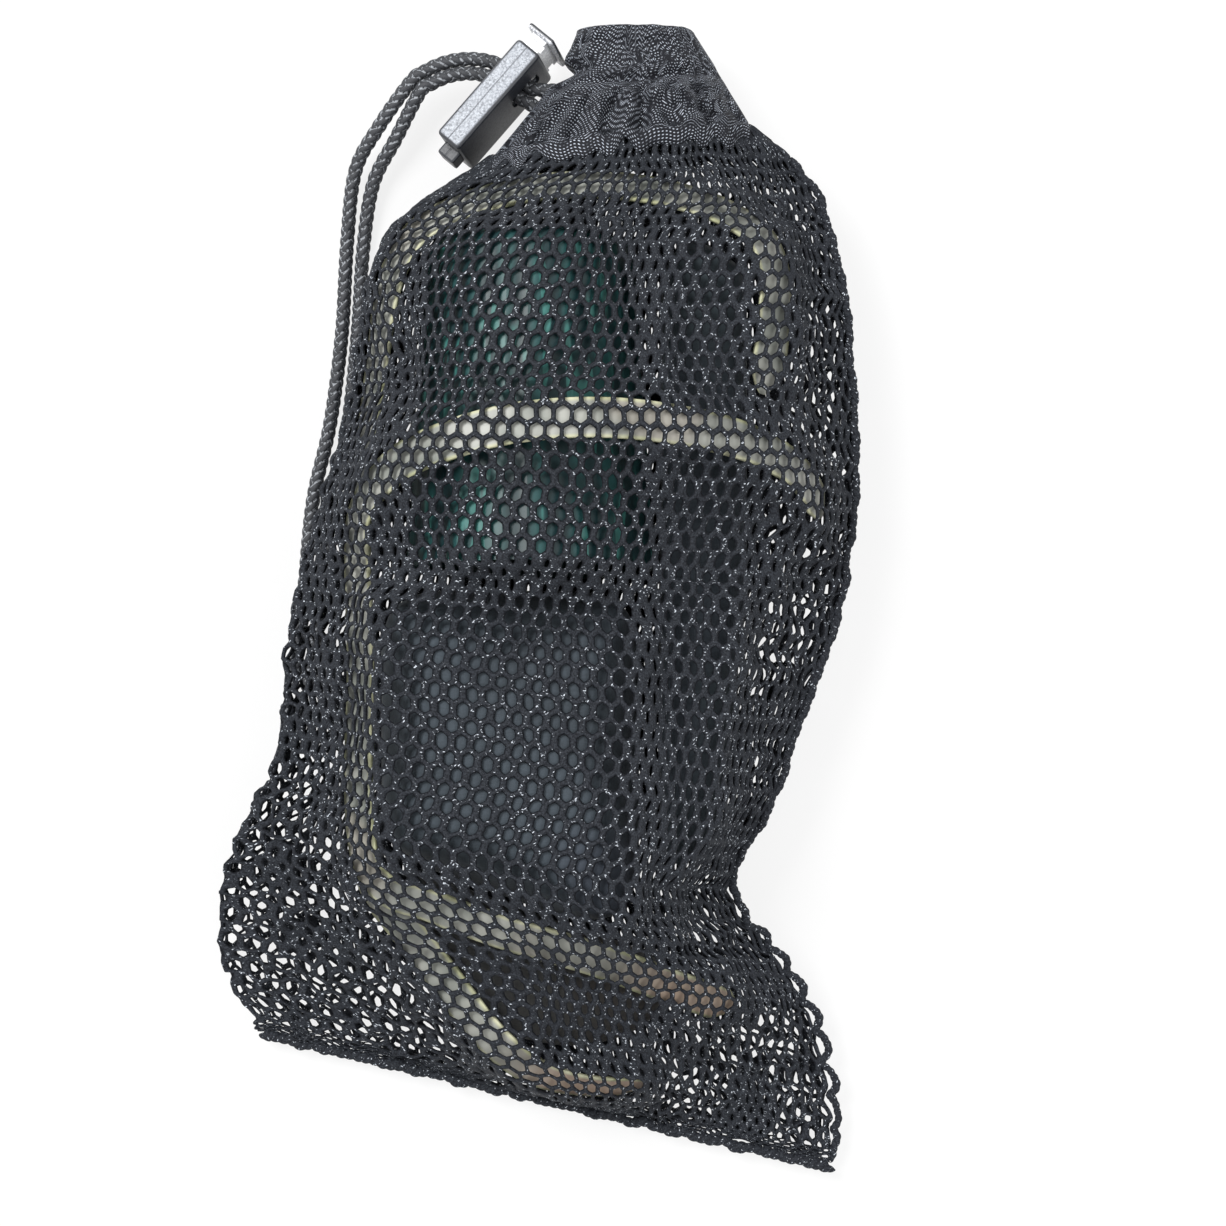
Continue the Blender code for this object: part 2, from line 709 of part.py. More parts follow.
def block(name, outline, top, finish, rounding):
    """A prism on a plan outline, with rounded edges."""
    low, high = KIT_FLOOR, in_bag(0, 0, top).z
    body = bmesh.new()
    foot = [body.verts.new(in_bag(x, y) + Vector((0, 0, low))) for x, y in outline]
    body.faces.new(foot)
    raised = bmesh.ops.extrude_face_region(body, geom=body.faces[:])
    top = [item for item in raised["geom"] if isinstance(item, bmesh.types.BMVert)]
    bmesh.ops.translate(body, vec=(0, 0, high - low), verts=top)
    bmesh.ops.recalc_face_normals(body, faces=body.faces)
    bmesh.ops.bevel(body, geom=body.edges[:], offset=rounding, segments=3, affect="EDGES", profile=0.5)
    mesh = bpy.data.meshes.new(name)
    body.to_mesh(mesh)
    body.free()
    mesh.shade_smooth()
    mesh.set_sharp_from_angle(angle=math.radians(40.0))
    mesh.materials.append(finish)
    made = bpy.data.objects.new(name, mesh)
    bpy.context.collection.objects.link(made)
    return made


CUP_MOUTH, CUP_BASE = (-1.0, 8.0), (-1.0, 78.0)  # the middle of each end, on the bag's plan
CUP_REACH = 26.5  # the most that its radius may be, before the load is stretched
CUP_SIDES = 32


def make_cup(finish):
    """A tumbler on its side, its mouth towards the bag's foot."""
    mouth = in_bag(*CUP_MOUTH)
    length = (in_bag(*CUP_BASE) - mouth).length
    room = in_bag(CUP_REACH, 0, CUP_REACH)
    wide = min(room.x, room.z)
    lean = math.atan2(CUP_TAPER, length)
    base = wide - CUP_TAPER
    profile = [
        (0.0, wide),
        (length - CUP_BASE_ROUNDING, base),
        (length - CUP_BASE_ROUNDING * CUP_CORNER_SHARE, base - CUP_BASE_ROUNDING * CUP_CORNER_SHARE),
        (length, base - CUP_BASE_ROUNDING),
    ]
    inside = [
        (length - CUP_WALL, base - CUP_BASE_ROUNDING - CUP_WALL / 2),
        (length - CUP_BASE_ROUNDING, base - CUP_WALL),
        (0.0, wide - CUP_WALL),
    ]
    rings = []
    for along, radius in [*profile, *inside]:
        ring = []
        for number in range(CUP_SIDES):
            angle = 2 * math.pi * number / CUP_SIDES
            ring.append(Vector((math.cos(angle) * radius, along, math.sin(angle) * radius)))
        rings.append(ring)
    skin, faces = loft(rings, closed_start=False, closed_end=False)
    turn = len(profile) * CUP_SIDES
    last = (len(rings) - 1) * CUP_SIDES
    faces = [f for f in faces if min(f) < turn - CUP_SIDES or max(f) >= turn + CUP_SIDES]
    faces.append(tuple(range(turn - CUP_SIDES, turn)))
    faces.append(tuple(range(turn, turn + CUP_SIDES)))
    for corner in range(CUP_SIDES):
        after = (corner + 1) % CUP_SIDES
        faces.append((corner, after, last + after, last + corner))
    made = mesh_object("kit_cup", skin, faces, finish, sharp_angle=35.0)
    height = KIT_FLOOR + wide
    tilt = Matrix.Rotation(-lean, 4, "X")
    made.matrix_world = Matrix.Translation(mouth + Vector((0, 0, height))) @ tilt
    return made


# The two spring bands of the stored kit: places along each, then the way its flat
# face looks there.
FRONT_BAND = [
    ((61.0, 19.2, 27.0), (0.7, 0.2, 0.7)),
    ((56.2, 27.6, 34.0), (0.5, 0.3, 0.8)),
    ((45.4, 33.8, 42.0), (0.35, 0.2, 0.92)),
    ((30.4, 37.2, 49.0), (0.2, 0.1, 0.97)),
    ((13.8, 38.6, 53.0), (0.0, 0.1, 1.0)),
    ((-3.2, 37.4, 54.2), (-0.1, 0.1, 1.0)),
    ((-17.8, 33.8, 50.8), (-0.4, 0.1, 0.9)),
    ((-29.4, 28.6, 43.0), (-0.6, 0.1, 0.8)),
    ((-36.8, 19.4, 34.5), (-0.75, 0.1, 0.65)),
    ((-37.4, 6.0, 31.0), (-0.72, 0.0, 0.7)),
    ((-36.9, -14.0, 31.0), (-0.7, 0.0, 0.7)),
    ((-37.2, -40.0, 32.0), (-0.66, -0.1, 0.75)),
    ((-33.8, -57.0, 35.0), (-0.5, -0.4, 0.8)),
    ((-21.0, -62.6, 37.5), (-0.2, -0.5, 0.85)),
    ((-6.5, -67.8, 38.5), (0.0, -0.5, 0.87)),
    ((13.4, -74.0, 35.6), (0.1, -0.5, 0.86)),
    ((28.8, -80.4, 29.6), (0.2, -0.5, 0.84)),
    ((41.8, -86.0, 20.5), (0.4, -0.5, 0.78)),
]
REAR_BAND = [
    ((47.6, 44.6, 37.2), (0.5, 0.0, 0.86)),
    ((49.6, 54.0, 35.9), (0.55, 0.1, 0.83)),
    ((50.5, 64.2, 34.2), (0.6, 0.25, 0.77)),
    ((49.8, 74.6, 33.0), (0.5, 0.45, 0.75)),
    ((42.6, 82.0, 32.4), (0.3, 0.6, 0.74)),
    ((29.0, 87.0, 33.0), (0.15, 0.65, 0.75)),
    ((13.6, 89.0, 33.5), (0.0, 0.66, 0.75)),
    ((-1.0, 88.2, 33.0), (-0.1, 0.66, 0.75)),
    ((-13.0, 85.4, 31.8), (-0.3, 0.6, 0.74)),
    ((-24.8, 79.8, 29.8), (-0.5, 0.45, 0.74)),
    ((-31.0, 68.8, 28.0), (-0.7, 0.2, 0.68)),
    ((-33.8, 53.0, 24.6), (-0.8, 0.0, 0.6)),
    ((-36.6, 34.0, 20.0), (-0.82, 0.0, 0.55)),
    ((-38.0, 10.0, 18.0), (-0.84, 0.0, 0.5)),
    ((-37.2, -16.0, 18.0), (-0.84, 0.0, 0.5)),
    ((-37.2, -42.0, 19.0), (-0.8, -0.1, 0.55)),
    ((-36.4, -56.6, 22.6), (-0.6, -0.2, 0.75)),
    ((-28.2, -67.4, 28.4), (-0.35, -0.2, 0.9)),
    ((-18.8, -79.4, 29.8), (-0.25, -0.3, 0.9)),
    ((-9.8, -91.0, 28.6), (-0.2, -0.45, 0.86)),
    ((0.4, -99.8, 23.8), (-0.05, -0.65, 0.74)),
    ((12.0, -103.4, 18.8), (0.05, -0.8, 0.6)),
    ((23.0, -103.6, 15.6), (0.15, -0.8, 0.5)),
]
BAND_SAMPLES = 40


def make_band(name, route, finish):
    """A flat springy band along its route, its face turned as each place says."""
    places = smooth([in_bag(*place) for place, _ in route], 6)
    facing = smooth([Vector(way) for _, way in route], 6)
    joined = [(*place, *way) for place, way in zip(places, facing)]
    travelled = evenly(places, BAND_SAMPLES)
    rings = []
    for at, place in enumerate(travelled):
        nearest = min(joined, key=lambda item: (Vector(item[:3]) - place).length)
        before = travelled[max(at - 1, 0)]
        after = travelled[min(at + 1, BAND_SAMPLES - 1)]
        along = (after - before).normalized()
        face = Vector(nearest[3:])
        face = (face - along * face.dot(along)).normalized()
        side = along.cross(face)
        wide, thick = side * BAND_WIDTH / 2, face * BAND_THICKNESS / 2
        rings.append(
            [
                place - wide - thick,
                place + wide - thick,
                place + wide * BAND_EDGE_SWELL,
                place + wide + thick,
                place - wide + thick,
                place - wide * BAND_EDGE_SWELL,
            ]
        )
    points, faces = loft(rings)
    return mesh_object(name, points, faces, finish, sharp_angle=50.0)


MAIN_PAD = [(-32.5, 3.5), (22.0, 3.5), (22.0, -66.0), (14.0, -67.5), (-32.5, -51.0)]
SIDE_PAD = [(28.0, 82.0), (45.0, 74.0), (44.5, 2.0), (37.0, -48.0), (26.5, -60.0)]
BASE_PAD = [
    (-33.0, -56.0),
    (-1.0, -67.5),
    (30.0, -77.5),
    (30.0, -84.0),
    (24.0, -93.0),
    (8.0, -97.0),
    (-8.0, -93.5),
    (-22.0, -80.0),
    (-32.0, -66.0),
]
MAIN_PAD_TOP, SIDE_PAD_TOP, BASE_PAD_TOP = 44.5, 37.5, 24.5


def make_kit(finishes):
    block("kit_pad_main", MAIN_PAD, MAIN_PAD_TOP, finishes["pad"], PAD_ROUNDING)
    block("kit_pad_side", SIDE_PAD, SIDE_PAD_TOP, finishes["side_pad"], PAD_ROUNDING)
    block("kit_pad_base", BASE_PAD, BASE_PAD_TOP, finishes["pad"], BASE_PAD_ROUNDING)
    make_cup(finishes["cup"])
    make_band("kit_band_front", FRONT_BAND, finishes["band"])
    make_band("kit_band_rear", REAR_BAND, finishes["band"])


# ---- Assembly ----


def make_bag(finishes):
    make_net(finishes["net"])
    path, outs = bottom_seam_path()
    ridge("bottom_seam", path, outs, SEAM_WIDTH, finishes["seam"])
    path, outs = side_seam_path()
    ridge("side_seam", path[1:], outs[1:], SIDE_SEAM_WIDTH, finishes["seam"])


def make_mouth_and_cords(finishes):
    casing = gathered_tube("casing", CASING_START, CASING_END, CLEARANCE, finishes["casing"])
    gathered_tube("hem", CASING_END, HEM_END, 2 * CLEARANCE, finishes["casing"])
    outer = tail_points(SLIDE_RADIUS + CORD_PITCH / 2, OUTER_RUN, OUTER_ENTRY)
    inner = tail_points(SLIDE_RADIUS - CORD_PITCH / 2, INNER_RUN, INNER_ENTRY)
    ways = [(tail[0] - tail[1]).normalized() for tail in (outer, inner)]
    loop = loop_points(*ways)
    channels = {
        "loop": [outer[1], *loop, inner[1]],
        "outer_way": outer[:CHANNEL_POINTS],
        "inner_way": inner[:CHANNEL_POINTS],
    }
    for name, route in channels.items():
        cutter = curve_object(name, route, CHANNEL_DIAMETER, finishes["casing"])
        cut(casing, cutter_from(cutter))
    curve_object("drawcord_loop", loop, CORD_DIAMETER, finishes["cord"])
    for name, route in (("cord_tail_outer", outer), ("cord_tail_inner", inner)):
        curve_object(name, route, CORD_DIAMETER, finishes["cord"])
        length = sum((b - a).length for a, b in zip(route, route[1:]))
        print(name, "is", round(length / MM, 1), "mm long")


def make_knot(finish):
    """An egg-shaped lump, where both cord ends are tied together."""
    body = bmesh.new()
    bmesh.ops.create_uvsphere(body, u_segments=14, v_segments=10, radius=0.5)
    size = (KNOT_WIDTH, KNOT_LENGTH, KNOT_WIDTH)
    bmesh.ops.scale(body, vec=size, verts=body.verts)
    bmesh.ops.translate(body, vec=KNOT_CENTRE, verts=body.verts)
    mesh = bpy.data.meshes.new("cord_knot")
    body.to_mesh(mesh)
    body.free()
    mesh.shade_smooth()
    mesh.materials.append(finish)
    made = bpy.data.objects.new("cord_knot", mesh)
    bpy.context.collection.objects.link(made)


def hang_lock(*pieces):
    """Parents the lock's pieces to an empty on the axis that the lock slides round."""
    pivot = bpy.data.objects.new("lock_pivot", None)
    bpy.context.collection.objects.link(pivot)
    pivot.matrix_world = Matrix.Translation(slide_centre) @ lock_turn()
    for piece in pieces:
        piece.parent = pivot
        piece.matrix_parent_inverse = pivot.matrix_world.inverted()


clear_scene()
finishes = make_finishes()
make_bag(finishes)
make_mouth_and_cords(finishes)
make_knot(finishes["cord"])
hang_lock(
    make_lock_body(finishes["lock"]),
    make_plunger(finishes["plunger"]),
    make_spring(finishes["spring"]),
)
make_kit(finishes)
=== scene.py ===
# %% [markdown]
# # A drawstring mesh bag
# A black net is hard to draw well: nearly all that the eye reads in it is the shape of its holes and what
# shows through them. So this lesson spends its effort there. Every hole is real geometry, and what lies
# inside is really there.
#
# Everything is in metres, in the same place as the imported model, which is loaded first and never moved.

import json
import math

import bpy
import numpy as np
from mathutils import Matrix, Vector
from mathutils.bvhtree import BVHTree
from mathutils.kdtree import KDTree


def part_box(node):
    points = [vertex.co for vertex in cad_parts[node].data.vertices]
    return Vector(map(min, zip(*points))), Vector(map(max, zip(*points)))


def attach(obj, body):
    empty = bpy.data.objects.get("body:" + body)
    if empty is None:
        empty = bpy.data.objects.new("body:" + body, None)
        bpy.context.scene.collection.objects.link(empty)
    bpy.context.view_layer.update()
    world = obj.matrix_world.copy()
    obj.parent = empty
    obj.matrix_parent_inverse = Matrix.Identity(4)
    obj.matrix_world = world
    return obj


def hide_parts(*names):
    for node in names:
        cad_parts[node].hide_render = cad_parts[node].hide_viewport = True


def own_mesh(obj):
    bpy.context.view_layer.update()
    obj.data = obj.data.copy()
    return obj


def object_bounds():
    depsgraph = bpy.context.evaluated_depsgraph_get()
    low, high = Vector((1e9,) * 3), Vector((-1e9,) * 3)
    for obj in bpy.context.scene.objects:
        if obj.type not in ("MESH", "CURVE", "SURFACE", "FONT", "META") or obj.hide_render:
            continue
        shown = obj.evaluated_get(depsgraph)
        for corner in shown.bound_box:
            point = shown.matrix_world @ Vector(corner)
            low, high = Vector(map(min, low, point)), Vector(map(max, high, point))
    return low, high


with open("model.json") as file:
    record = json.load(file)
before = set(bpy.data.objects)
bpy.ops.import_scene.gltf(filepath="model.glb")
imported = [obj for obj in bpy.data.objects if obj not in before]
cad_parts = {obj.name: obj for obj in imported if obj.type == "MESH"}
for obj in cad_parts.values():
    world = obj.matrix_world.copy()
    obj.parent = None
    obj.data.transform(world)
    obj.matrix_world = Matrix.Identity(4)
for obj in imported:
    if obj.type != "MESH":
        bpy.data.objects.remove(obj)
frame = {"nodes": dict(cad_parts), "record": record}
cad_low, cad_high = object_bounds()
MM = 0.001
print("packed model, mm:", [round(side / MM, 1) for side in cad_high - cad_low])

# %% Put things in the scene
def put_in(name, data):
    """An object in the scene that holds a mesh, a lamp or a camera."""
    made = bpy.data.objects.new(name, data)
    bpy.context.scene.collection.objects.link(made)
    return made


# %% [markdown]
# ## Camera
# The bag is seen from straight above, with its mouth at the top of the picture. A camera with no rotation
# already looks down its own -Z with +Y up, so it only needs a place and an angle of view. It stands 0.6 m
# up, near enough that the fuller parts of the bag look slightly larger than the parts on the floor.


# %% Camera
VIEW_HEIGHT, VIEW_WIDTH = 0.600, 0.2735
VIEW_MIDDLE = (0.0165, -0.0012)
camera_lens = bpy.data.cameras.new("camera")
camera_lens.lens_unit = "FOV"
camera_lens.angle = 2 * math.atan(VIEW_WIDTH / 2 / VIEW_HEIGHT)
camera_lens.clip_start = 0.01
camera = put_in("camera", camera_lens)
camera.location = (*VIEW_MIDDLE, VIEW_HEIGHT)
bpy.context.scene.camera = camera
bpy.context.scene.view_settings.view_transform = "Standard"
print("angle of view, degrees:", round(math.degrees(camera_lens.angle), 1))

# %% [markdown]
# ## A way to write shaders as sums
# A node tree is arithmetic drawn as boxes. Wrapping a socket in a small class lets Python's own operators
# draw the boxes, so a finish reads as a formula. Numbers go through Math nodes. Colours go through a Mix
# node instead, because a Math node would turn a colour grey.

# %% Sockets that know arithmetic
class Wire:
    """One output socket, on which Python's operators add Math nodes."""

    def __init__(self, finish, socket):
        self.finish = finish
        self.socket = socket

    def maths(self, operation, *terms):
        return self.finish.add("ShaderNodeMath", {"operation": operation}, dict(enumerate(terms)))

    def __add__(self, other):
        return self.maths("ADD", self, other)

    def __radd__(self, other):
        return self.maths("ADD", other, self)

    def __sub__(self, other):
        return self.maths("SUBTRACT", self, other)

    def __rsub__(self, other):
        return self.maths("SUBTRACT", other, self)

    def __mul__(self, other):
        return self.maths("MULTIPLY", self, other)

    def __rmul__(self, other):
        return self.maths("MULTIPLY", other, self)

    def __truediv__(self, other):
        return self.maths("DIVIDE", self, other)

    def __rtruediv__(self, other):
        return self.maths("DIVIDE", other, self)

    def between(self, low, high):
        """0 below low, 1 above high, and a smooth step from one to the other."""
        sockets = {"Value": self, "From Min": low, "From Max": high}
        return self.finish.add("ShaderNodeMapRange", {"interpolation_type": "SMOOTHSTEP"}, sockets)


# %% Node trees that are filled one node at a time
class Finish:
    """A node tree. For a material, its Principled shader takes the constants straight on its sockets."""

    def __init__(self, tree):
        self.tree = tree

    def add(self, kind, settings=None, sockets=None, output=0):
        node = self.tree.nodes.new(kind)
        for name, value in (settings or {}).items():
            setattr(node, name, value)
        for place, value in (sockets or {}).items():
            self.feed(node.inputs[place], value)
        return Wire(self, node.outputs[output])

    def feed(self, socket, value):
        if isinstance(value, Wire):
            self.tree.links.new(value.socket, socket)
        else:
            socket.default_value = value

    def mix(self, share, first, second, kind="MIX"):
        """A colour from the first to the second, by share."""
        settings = {"data_type": "RGBA", "blend_type": kind}
        return self.add("ShaderNodeMix", settings, {0: share, 6: first, 7: second}, 2)

    def vector(self, operation, *terms, output=0):
        return self.add("ShaderNodeVectorMath", {"operation": operation}, dict(enumerate(terms)), output)

    def place(self, kind="Object"):
        return self.add("ShaderNodeTexCoord", output=kind)

    def flat_cloth(self):
        """Where a point was on the flat cloth, in metres, from the piece's UV map."""
        return self.add("ShaderNodeUVMap", {"uv_map": "cloth"})

    def grain(self, vector, scale, detail=2.0, rough=0.5):
        sockets = {"Vector": vector, "Scale": scale, "Detail": detail, "Roughness": rough}
        return self.add("ShaderNodeTexNoise", None, sockets)

    def dots(self, vector, scale, scatter=1.0):
        """How far each point lies from the nearest of many scattered dots."""
        sockets = {"Vector": vector, "Scale": scale, "Randomness": scatter}
        return self.add("ShaderNodeTexVoronoi", None, sockets)

    def value_of(self, name):
        """A number that the mesh holds at each of its points."""
        return self.add("ShaderNodeAttribute", {"attribute_name": name}, output="Fac")

    def parts(self, vector):
        """The three numbers of a vector, each on a wire of its own."""
        split = self.add("ShaderNodeSeparateXYZ", None, {0: vector}).socket.node
        return [Wire(self, socket) for socket in split.outputs]

    def bump(self, height, distance, strength=1.0):
        sockets = {"Height": height, "Distance": distance, "Strength": strength}
        return self.add("ShaderNodeBump", None, sockets)


# %% Start a material
def new_finish(name, **constants):
    """A material, its Finish, and its Principled shader with the constants set on its sockets."""
    made = bpy.data.materials.new(name)
    made.use_nodes = True
    shader = made.node_tree.nodes["Principled BSDF"]
    for socket, value in constants.items():
        shader.inputs[socket.replace("_", " ")].default_value = value
    return made, Finish(made.node_tree), shader


def dress(node, finish):
    """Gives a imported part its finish."""
    for slot in frame["nodes"][node].material_slots:
        slot.material = finish


# %% [markdown]
# ## Floor and light
# The floor is a plain white sheet. To the camera it shines with its own plain white, which keeps it white at
# any brightness of the lamps, and a fifth of it is still an ordinary matt white, which keeps the bag's
# shadow. The sky does the same. Two wide lamps light the bag softly from the upper left and the right, at a
# level at which a colour renders about as it is written.


# %% Floor
def is_background(finish):
    """1 for the rays that show the background: seen, mirrored or through clear plastic."""
    names = ("Is Camera Ray", "Is Glossy Ray", "Is Transmission Ray")
    seen, mirrored, clear = [finish.add("ShaderNodeLightPath", output=name) for name in names]
    return seen.maths("MAXIMUM", seen.maths("MAXIMUM", seen, mirrored), clear)


FLOOR_SIDE = 6.0
FLOOR_SHINE = 0.82  # the share of the floor that shines by itself
floor_mesh = bpy.data.meshes.new("floor")
corners = [(x * FLOOR_SIDE / 2, y * FLOOR_SIDE / 2, 0.0) for x, y in ((-1, -1), (1, -1), (1, 1), (-1, 1))]
floor_mesh.from_pydata(corners, [], [(0, 1, 2, 3)])
floor = put_in("floor", floor_mesh)
white_floor, sums, shader = new_finish("white floor", Base_Color=(0.8, 0.8, 0.8, 1), Roughness=0.9)
glow = sums.add("ShaderNodeEmission", None, {"Color": (1, 1, 1, 1), "Strength": 1.0})
lit = Wire(sums, shader.outputs[0])
shown = sums.add("ShaderNodeMixShader", None, {0: is_background(sums) * FLOOR_SHINE, 1: lit, 2: glow})
sums.feed(white_floor.node_tree.nodes["Material Output"].inputs["Surface"], shown)
floor_mesh.materials.append(white_floor)

# %% Sky and lamps
SKY_LIGHT = 0.72
LAMPS = (("lamp_left", (-0.55, 0.5, 1.0), 14.0, 0.5), ("lamp_right", (0.8, -0.2, 0.9), 4.5, 0.7))
sky = bpy.data.worlds.new("sky")
sky.use_nodes = True
bpy.context.scene.world = sky
air = Finish(sky.node_tree)
air_light = sky.node_tree.nodes["Background"].inputs
air.feed(air_light["Color"], (1, 1, 1, 1))
air.feed(air_light["Strength"], is_background(air) * (1 - SKY_LIGHT) + SKY_LIGHT)
for name, place, watts, side in LAMPS:
    lamp = bpy.data.lights.new(name, "AREA")
    lamp.energy = watts
    lamp.size = side
    holder = put_in(name, lamp)
    holder.location = place
    holder.rotation_euler = (-Vector(place)).to_track_quat("-Z", "Y").to_euler()
print("lamps:", [name for name, *_ in LAMPS])

# %% [markdown]
# ## Helpers for smooth lines and skins
# Most of this object follows lines: cords, bands, seams and the rims of folds. Two helpers draw a smooth
# line through a few points and step along it evenly. A third lays a skin over a grid of points and can store
# numbers on them for the finish to read. The mouth and the bands are such skins, and so is a tube, whose grid
# is a ring at each point of a line. The net has real holes, so it's built another way, further on.

# %% Smooth lines
def smooth_line(points, spacing):
    """A smooth line through the points, as an array of points that are spacing apart."""
    points = np.array(points, float)
    ends = np.vstack([2 * points[0] - points[1], points, 2 * points[-1] - points[-2]])
    t = np.linspace(0, 1, 24, endpoint=False)[:, None]
    spans = []
    for at in range(1, len(ends) - 2):
        a, b, c, d = ends[at - 1 : at + 3]
        curve = 2 * b + (c - a) * t + (2 * a - 5 * b + 4 * c - d) * t**2 + (3 * b - a - 3 * c + d) * t**3
        spans.append(curve / 2)
    line = np.vstack([*spans, points[-1:]])
    return even_line(line, spacing)


def travelled_along(line):
    """How far along a line each of its points lies."""
    return np.concatenate([[0], np.cumsum(np.linalg.norm(np.diff(line, axis=0), axis=1))])


def even_line(line, spacing):
    """The same line, stepped evenly."""
    travelled = travelled_along(line)
    steps = max(2, round(travelled[-1] / spacing))
    stops = np.linspace(0, travelled[-1], steps + 1)
    return np.stack([np.interp(stops, travelled, line[:, axis]) for axis in range(line.shape[1])], axis=1)


def line_length(line):
    return float(travelled_along(line)[-1])


# %% Frames that travel along a line without twisting
def unit(vectors):
    return vectors / np.maximum(np.linalg.norm(vectors, axis=-1, keepdims=True), 1e-12)


def travelling_frames(line, first_side=(0, 0, 1)):
    """For each point of a line, the way along it and two ways across it."""
    along = unit(np.gradient(line, axis=0))
    sides = np.zeros_like(line)
    side = np.array(first_side, float)
    for at, way in enumerate(along):
        side = side - way * side.dot(way)
        side = side / np.linalg.norm(side)
        sides[at] = side
    return along, sides, np.cross(along, sides)


# %% Skins over a grid of points
def skin(name, grid, wrap=False, numbers=None, flat=None, caps=False):
    """A smooth mesh over grid[row, column]. wrap joins the last column to the first."""
    rows, columns = grid.shape[:2]
    index = np.arange(rows * columns).reshape(rows, columns)
    if wrap:
        index = np.hstack([index, index[:, :1]])
    quads = np.stack([index[:-1, :-1], index[:-1, 1:], index[1:, 1:], index[1:, :-1]], axis=-1).reshape(-1, 4)
    faces = quads.tolist()
    if caps:
        faces += [index[0, :columns].tolist(), index[-1, :columns][::-1].tolist()]
    mesh = bpy.data.meshes.new(name)
    mesh.from_pydata(grid.reshape(-1, 3).tolist(), [], faces)
    if flat is not None:
        layer = mesh.uv_layers.new(name="cloth")
        columns_flat = flat.shape[1]
        flat_index = np.arange(flat.shape[0] * columns_flat).reshape(flat.shape[:2])
        corners = np.stack(
            [flat_index[:-1, :-1], flat_index[:-1, 1:], flat_index[1:, 1:], flat_index[1:, :-1]], axis=-1
        ).reshape(-1)
        places = flat.reshape(-1, 2)[corners]
        spare = len(mesh.loops) - len(places)
        places = np.vstack([places, np.zeros((spare, 2))])
        layer.data.foreach_set("uv", places.astype(np.float32).ravel())
    for key, values in (numbers or {}).items():
        layer = mesh.attributes.new(key, "FLOAT", "POINT")
        layer.data.foreach_set("value", np.asarray(values, np.float32).ravel())
    mesh.shade_smooth()
    return put_in(name, mesh)


# %% Tubes
def from_ends(travelled):
    """How far each point of a line lies from the nearer end."""
    return np.minimum(travelled, travelled[-1] - travelled)[:, None]


def tube(name, line, diameter, radius, lowest, **numbers):
    """A closed tube along a line: radius[point, step] is its radius there, and no point is below lowest."""
    steps = radius.shape[1]
    along, side, other = travelling_frames(line)
    angle = np.arange(steps) / steps * 2 * math.pi
    ring = np.cos(angle)[None, :, None] * side[:, None] + np.sin(angle)[None, :, None] * other[:, None]
    grid = line[:, None] + ring * radius[..., None]
    grid[..., 2] = np.maximum(grid[..., 2], lowest)
    turns = np.linspace(0, math.pi * diameter, steps + 1)
    flat = np.stack(np.meshgrid(turns, travelled_along(line)), axis=-1)
    return skin(name, grid, wrap=True, numbers=numbers, flat=flat, caps=True)


# %% [markdown]
# ## Cord
# The drawcord is a braid, 3.2 mm thick: eight flat bundles of yarn, four wound each way, each passing over
# two and under two. That over-and-under is what makes the rows of chevrons. A braid could be eight separate
# tubes, but they'd cut into each other at every bend. Here it's one tube whose surface is raised and lowered
# by the braid's own rule, which bends cleanly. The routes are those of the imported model's plain cords, and
# the bend through the lock is the one that the lock slides along, so its middle comes from that joint.


# %% Cord routes
joints = {joint["name"]: joint for joint in frame["record"]["behaviour"]["joints"]}
slide, press = joints["lock_slide"], joints["plunger_press"]
slide_centre, slide_axis = np.array(slide["pos_m"]), np.array(slide["axis"])
along_lock = -np.array(press["axis"])
bore_way = np.cross(along_lock, slide_axis)
SLIDE_RADIUS = 17.0 * MM
CORD_DIAMETER, CORD_SPACING = 3.2 * MM, 0.05 * MM
BEND_STOPS = (-12, 0, 14, 28, 42, 56, 70, 82)  # degrees round the bend
OUTER_ENTRY, INNER_ENTRY = (5.0, 112.3, 15.0), (2.0, 107.8, 13.6)
OUTER_RUN = [
    (-35.4, 105.6, 6.9), (-40.6, 96.5, 4.2), (-42.6, 81.0, 2.1), (-43.8, 61.0, 1.7), (-46.4, 41.0, 1.7),
    (-50.2, 24.0, 1.7), (-52.0, 6.0, 1.7), (-53.4, -9.0, 1.7), (-55.2, -18.9, 3.0),
]
INNER_RUN = [
    (-31.4, 103.5, 6.4), (-36.6, 94.0, 3.8), (-39.0, 80.0, 2.0), (-40.3, 61.0, 1.7), (-42.4, 41.0, 1.7),
    (-45.6, 24.0, 1.7), (-48.2, 7.0, 1.7), (-49.7, -7.0, 1.7), (-51.5, -18.9, 3.4),
]


def cord_route(radius, run, entry, spacing):
    """From the casing, round the bend through the lock, and down along the bag's left side."""
    route = [np.array(entry) * MM]
    for degrees in BEND_STOPS:
        angle = math.radians(degrees)
        route.append(slide_centre + radius * (math.cos(angle) * along_lock - math.sin(angle) * bore_way))
    route += [np.array(place) * MM for place in run]
    return smooth_line(route, spacing)


# %% Braid rule
BUNDLES = 4  # wound each way
BRAID_PITCH = 9.0 * MM  # along the cord, for one turn of a bundle


def braid_relief(around, along):
    """Height from 0 to 1 of the braid's surface, and how near the edge of its bundle a point is."""
    one = around * BUNDLES + along / BRAID_PITCH * BUNDLES
    two = around * BUNDLES - along / BRAID_PITCH * BUNDLES
    crossing = (np.floor(one) + np.floor(two)) % 4
    one_over = crossing < 2
    across = np.where(one_over, one % 1, two % 1)
    lengthways = np.where(one_over, two % 1, one % 1)
    first_half = np.where(one_over, crossing < 1, crossing < 3)
    climb = np.where(first_half, lengthways, 1 - lengthways)
    crown = np.sqrt(np.maximum(0, 1 - (2 * across - 1) ** 2))
    return crown * (0.55 + 0.45 * np.sin(climb * math.pi / 2)), np.abs(2 * across - 1)


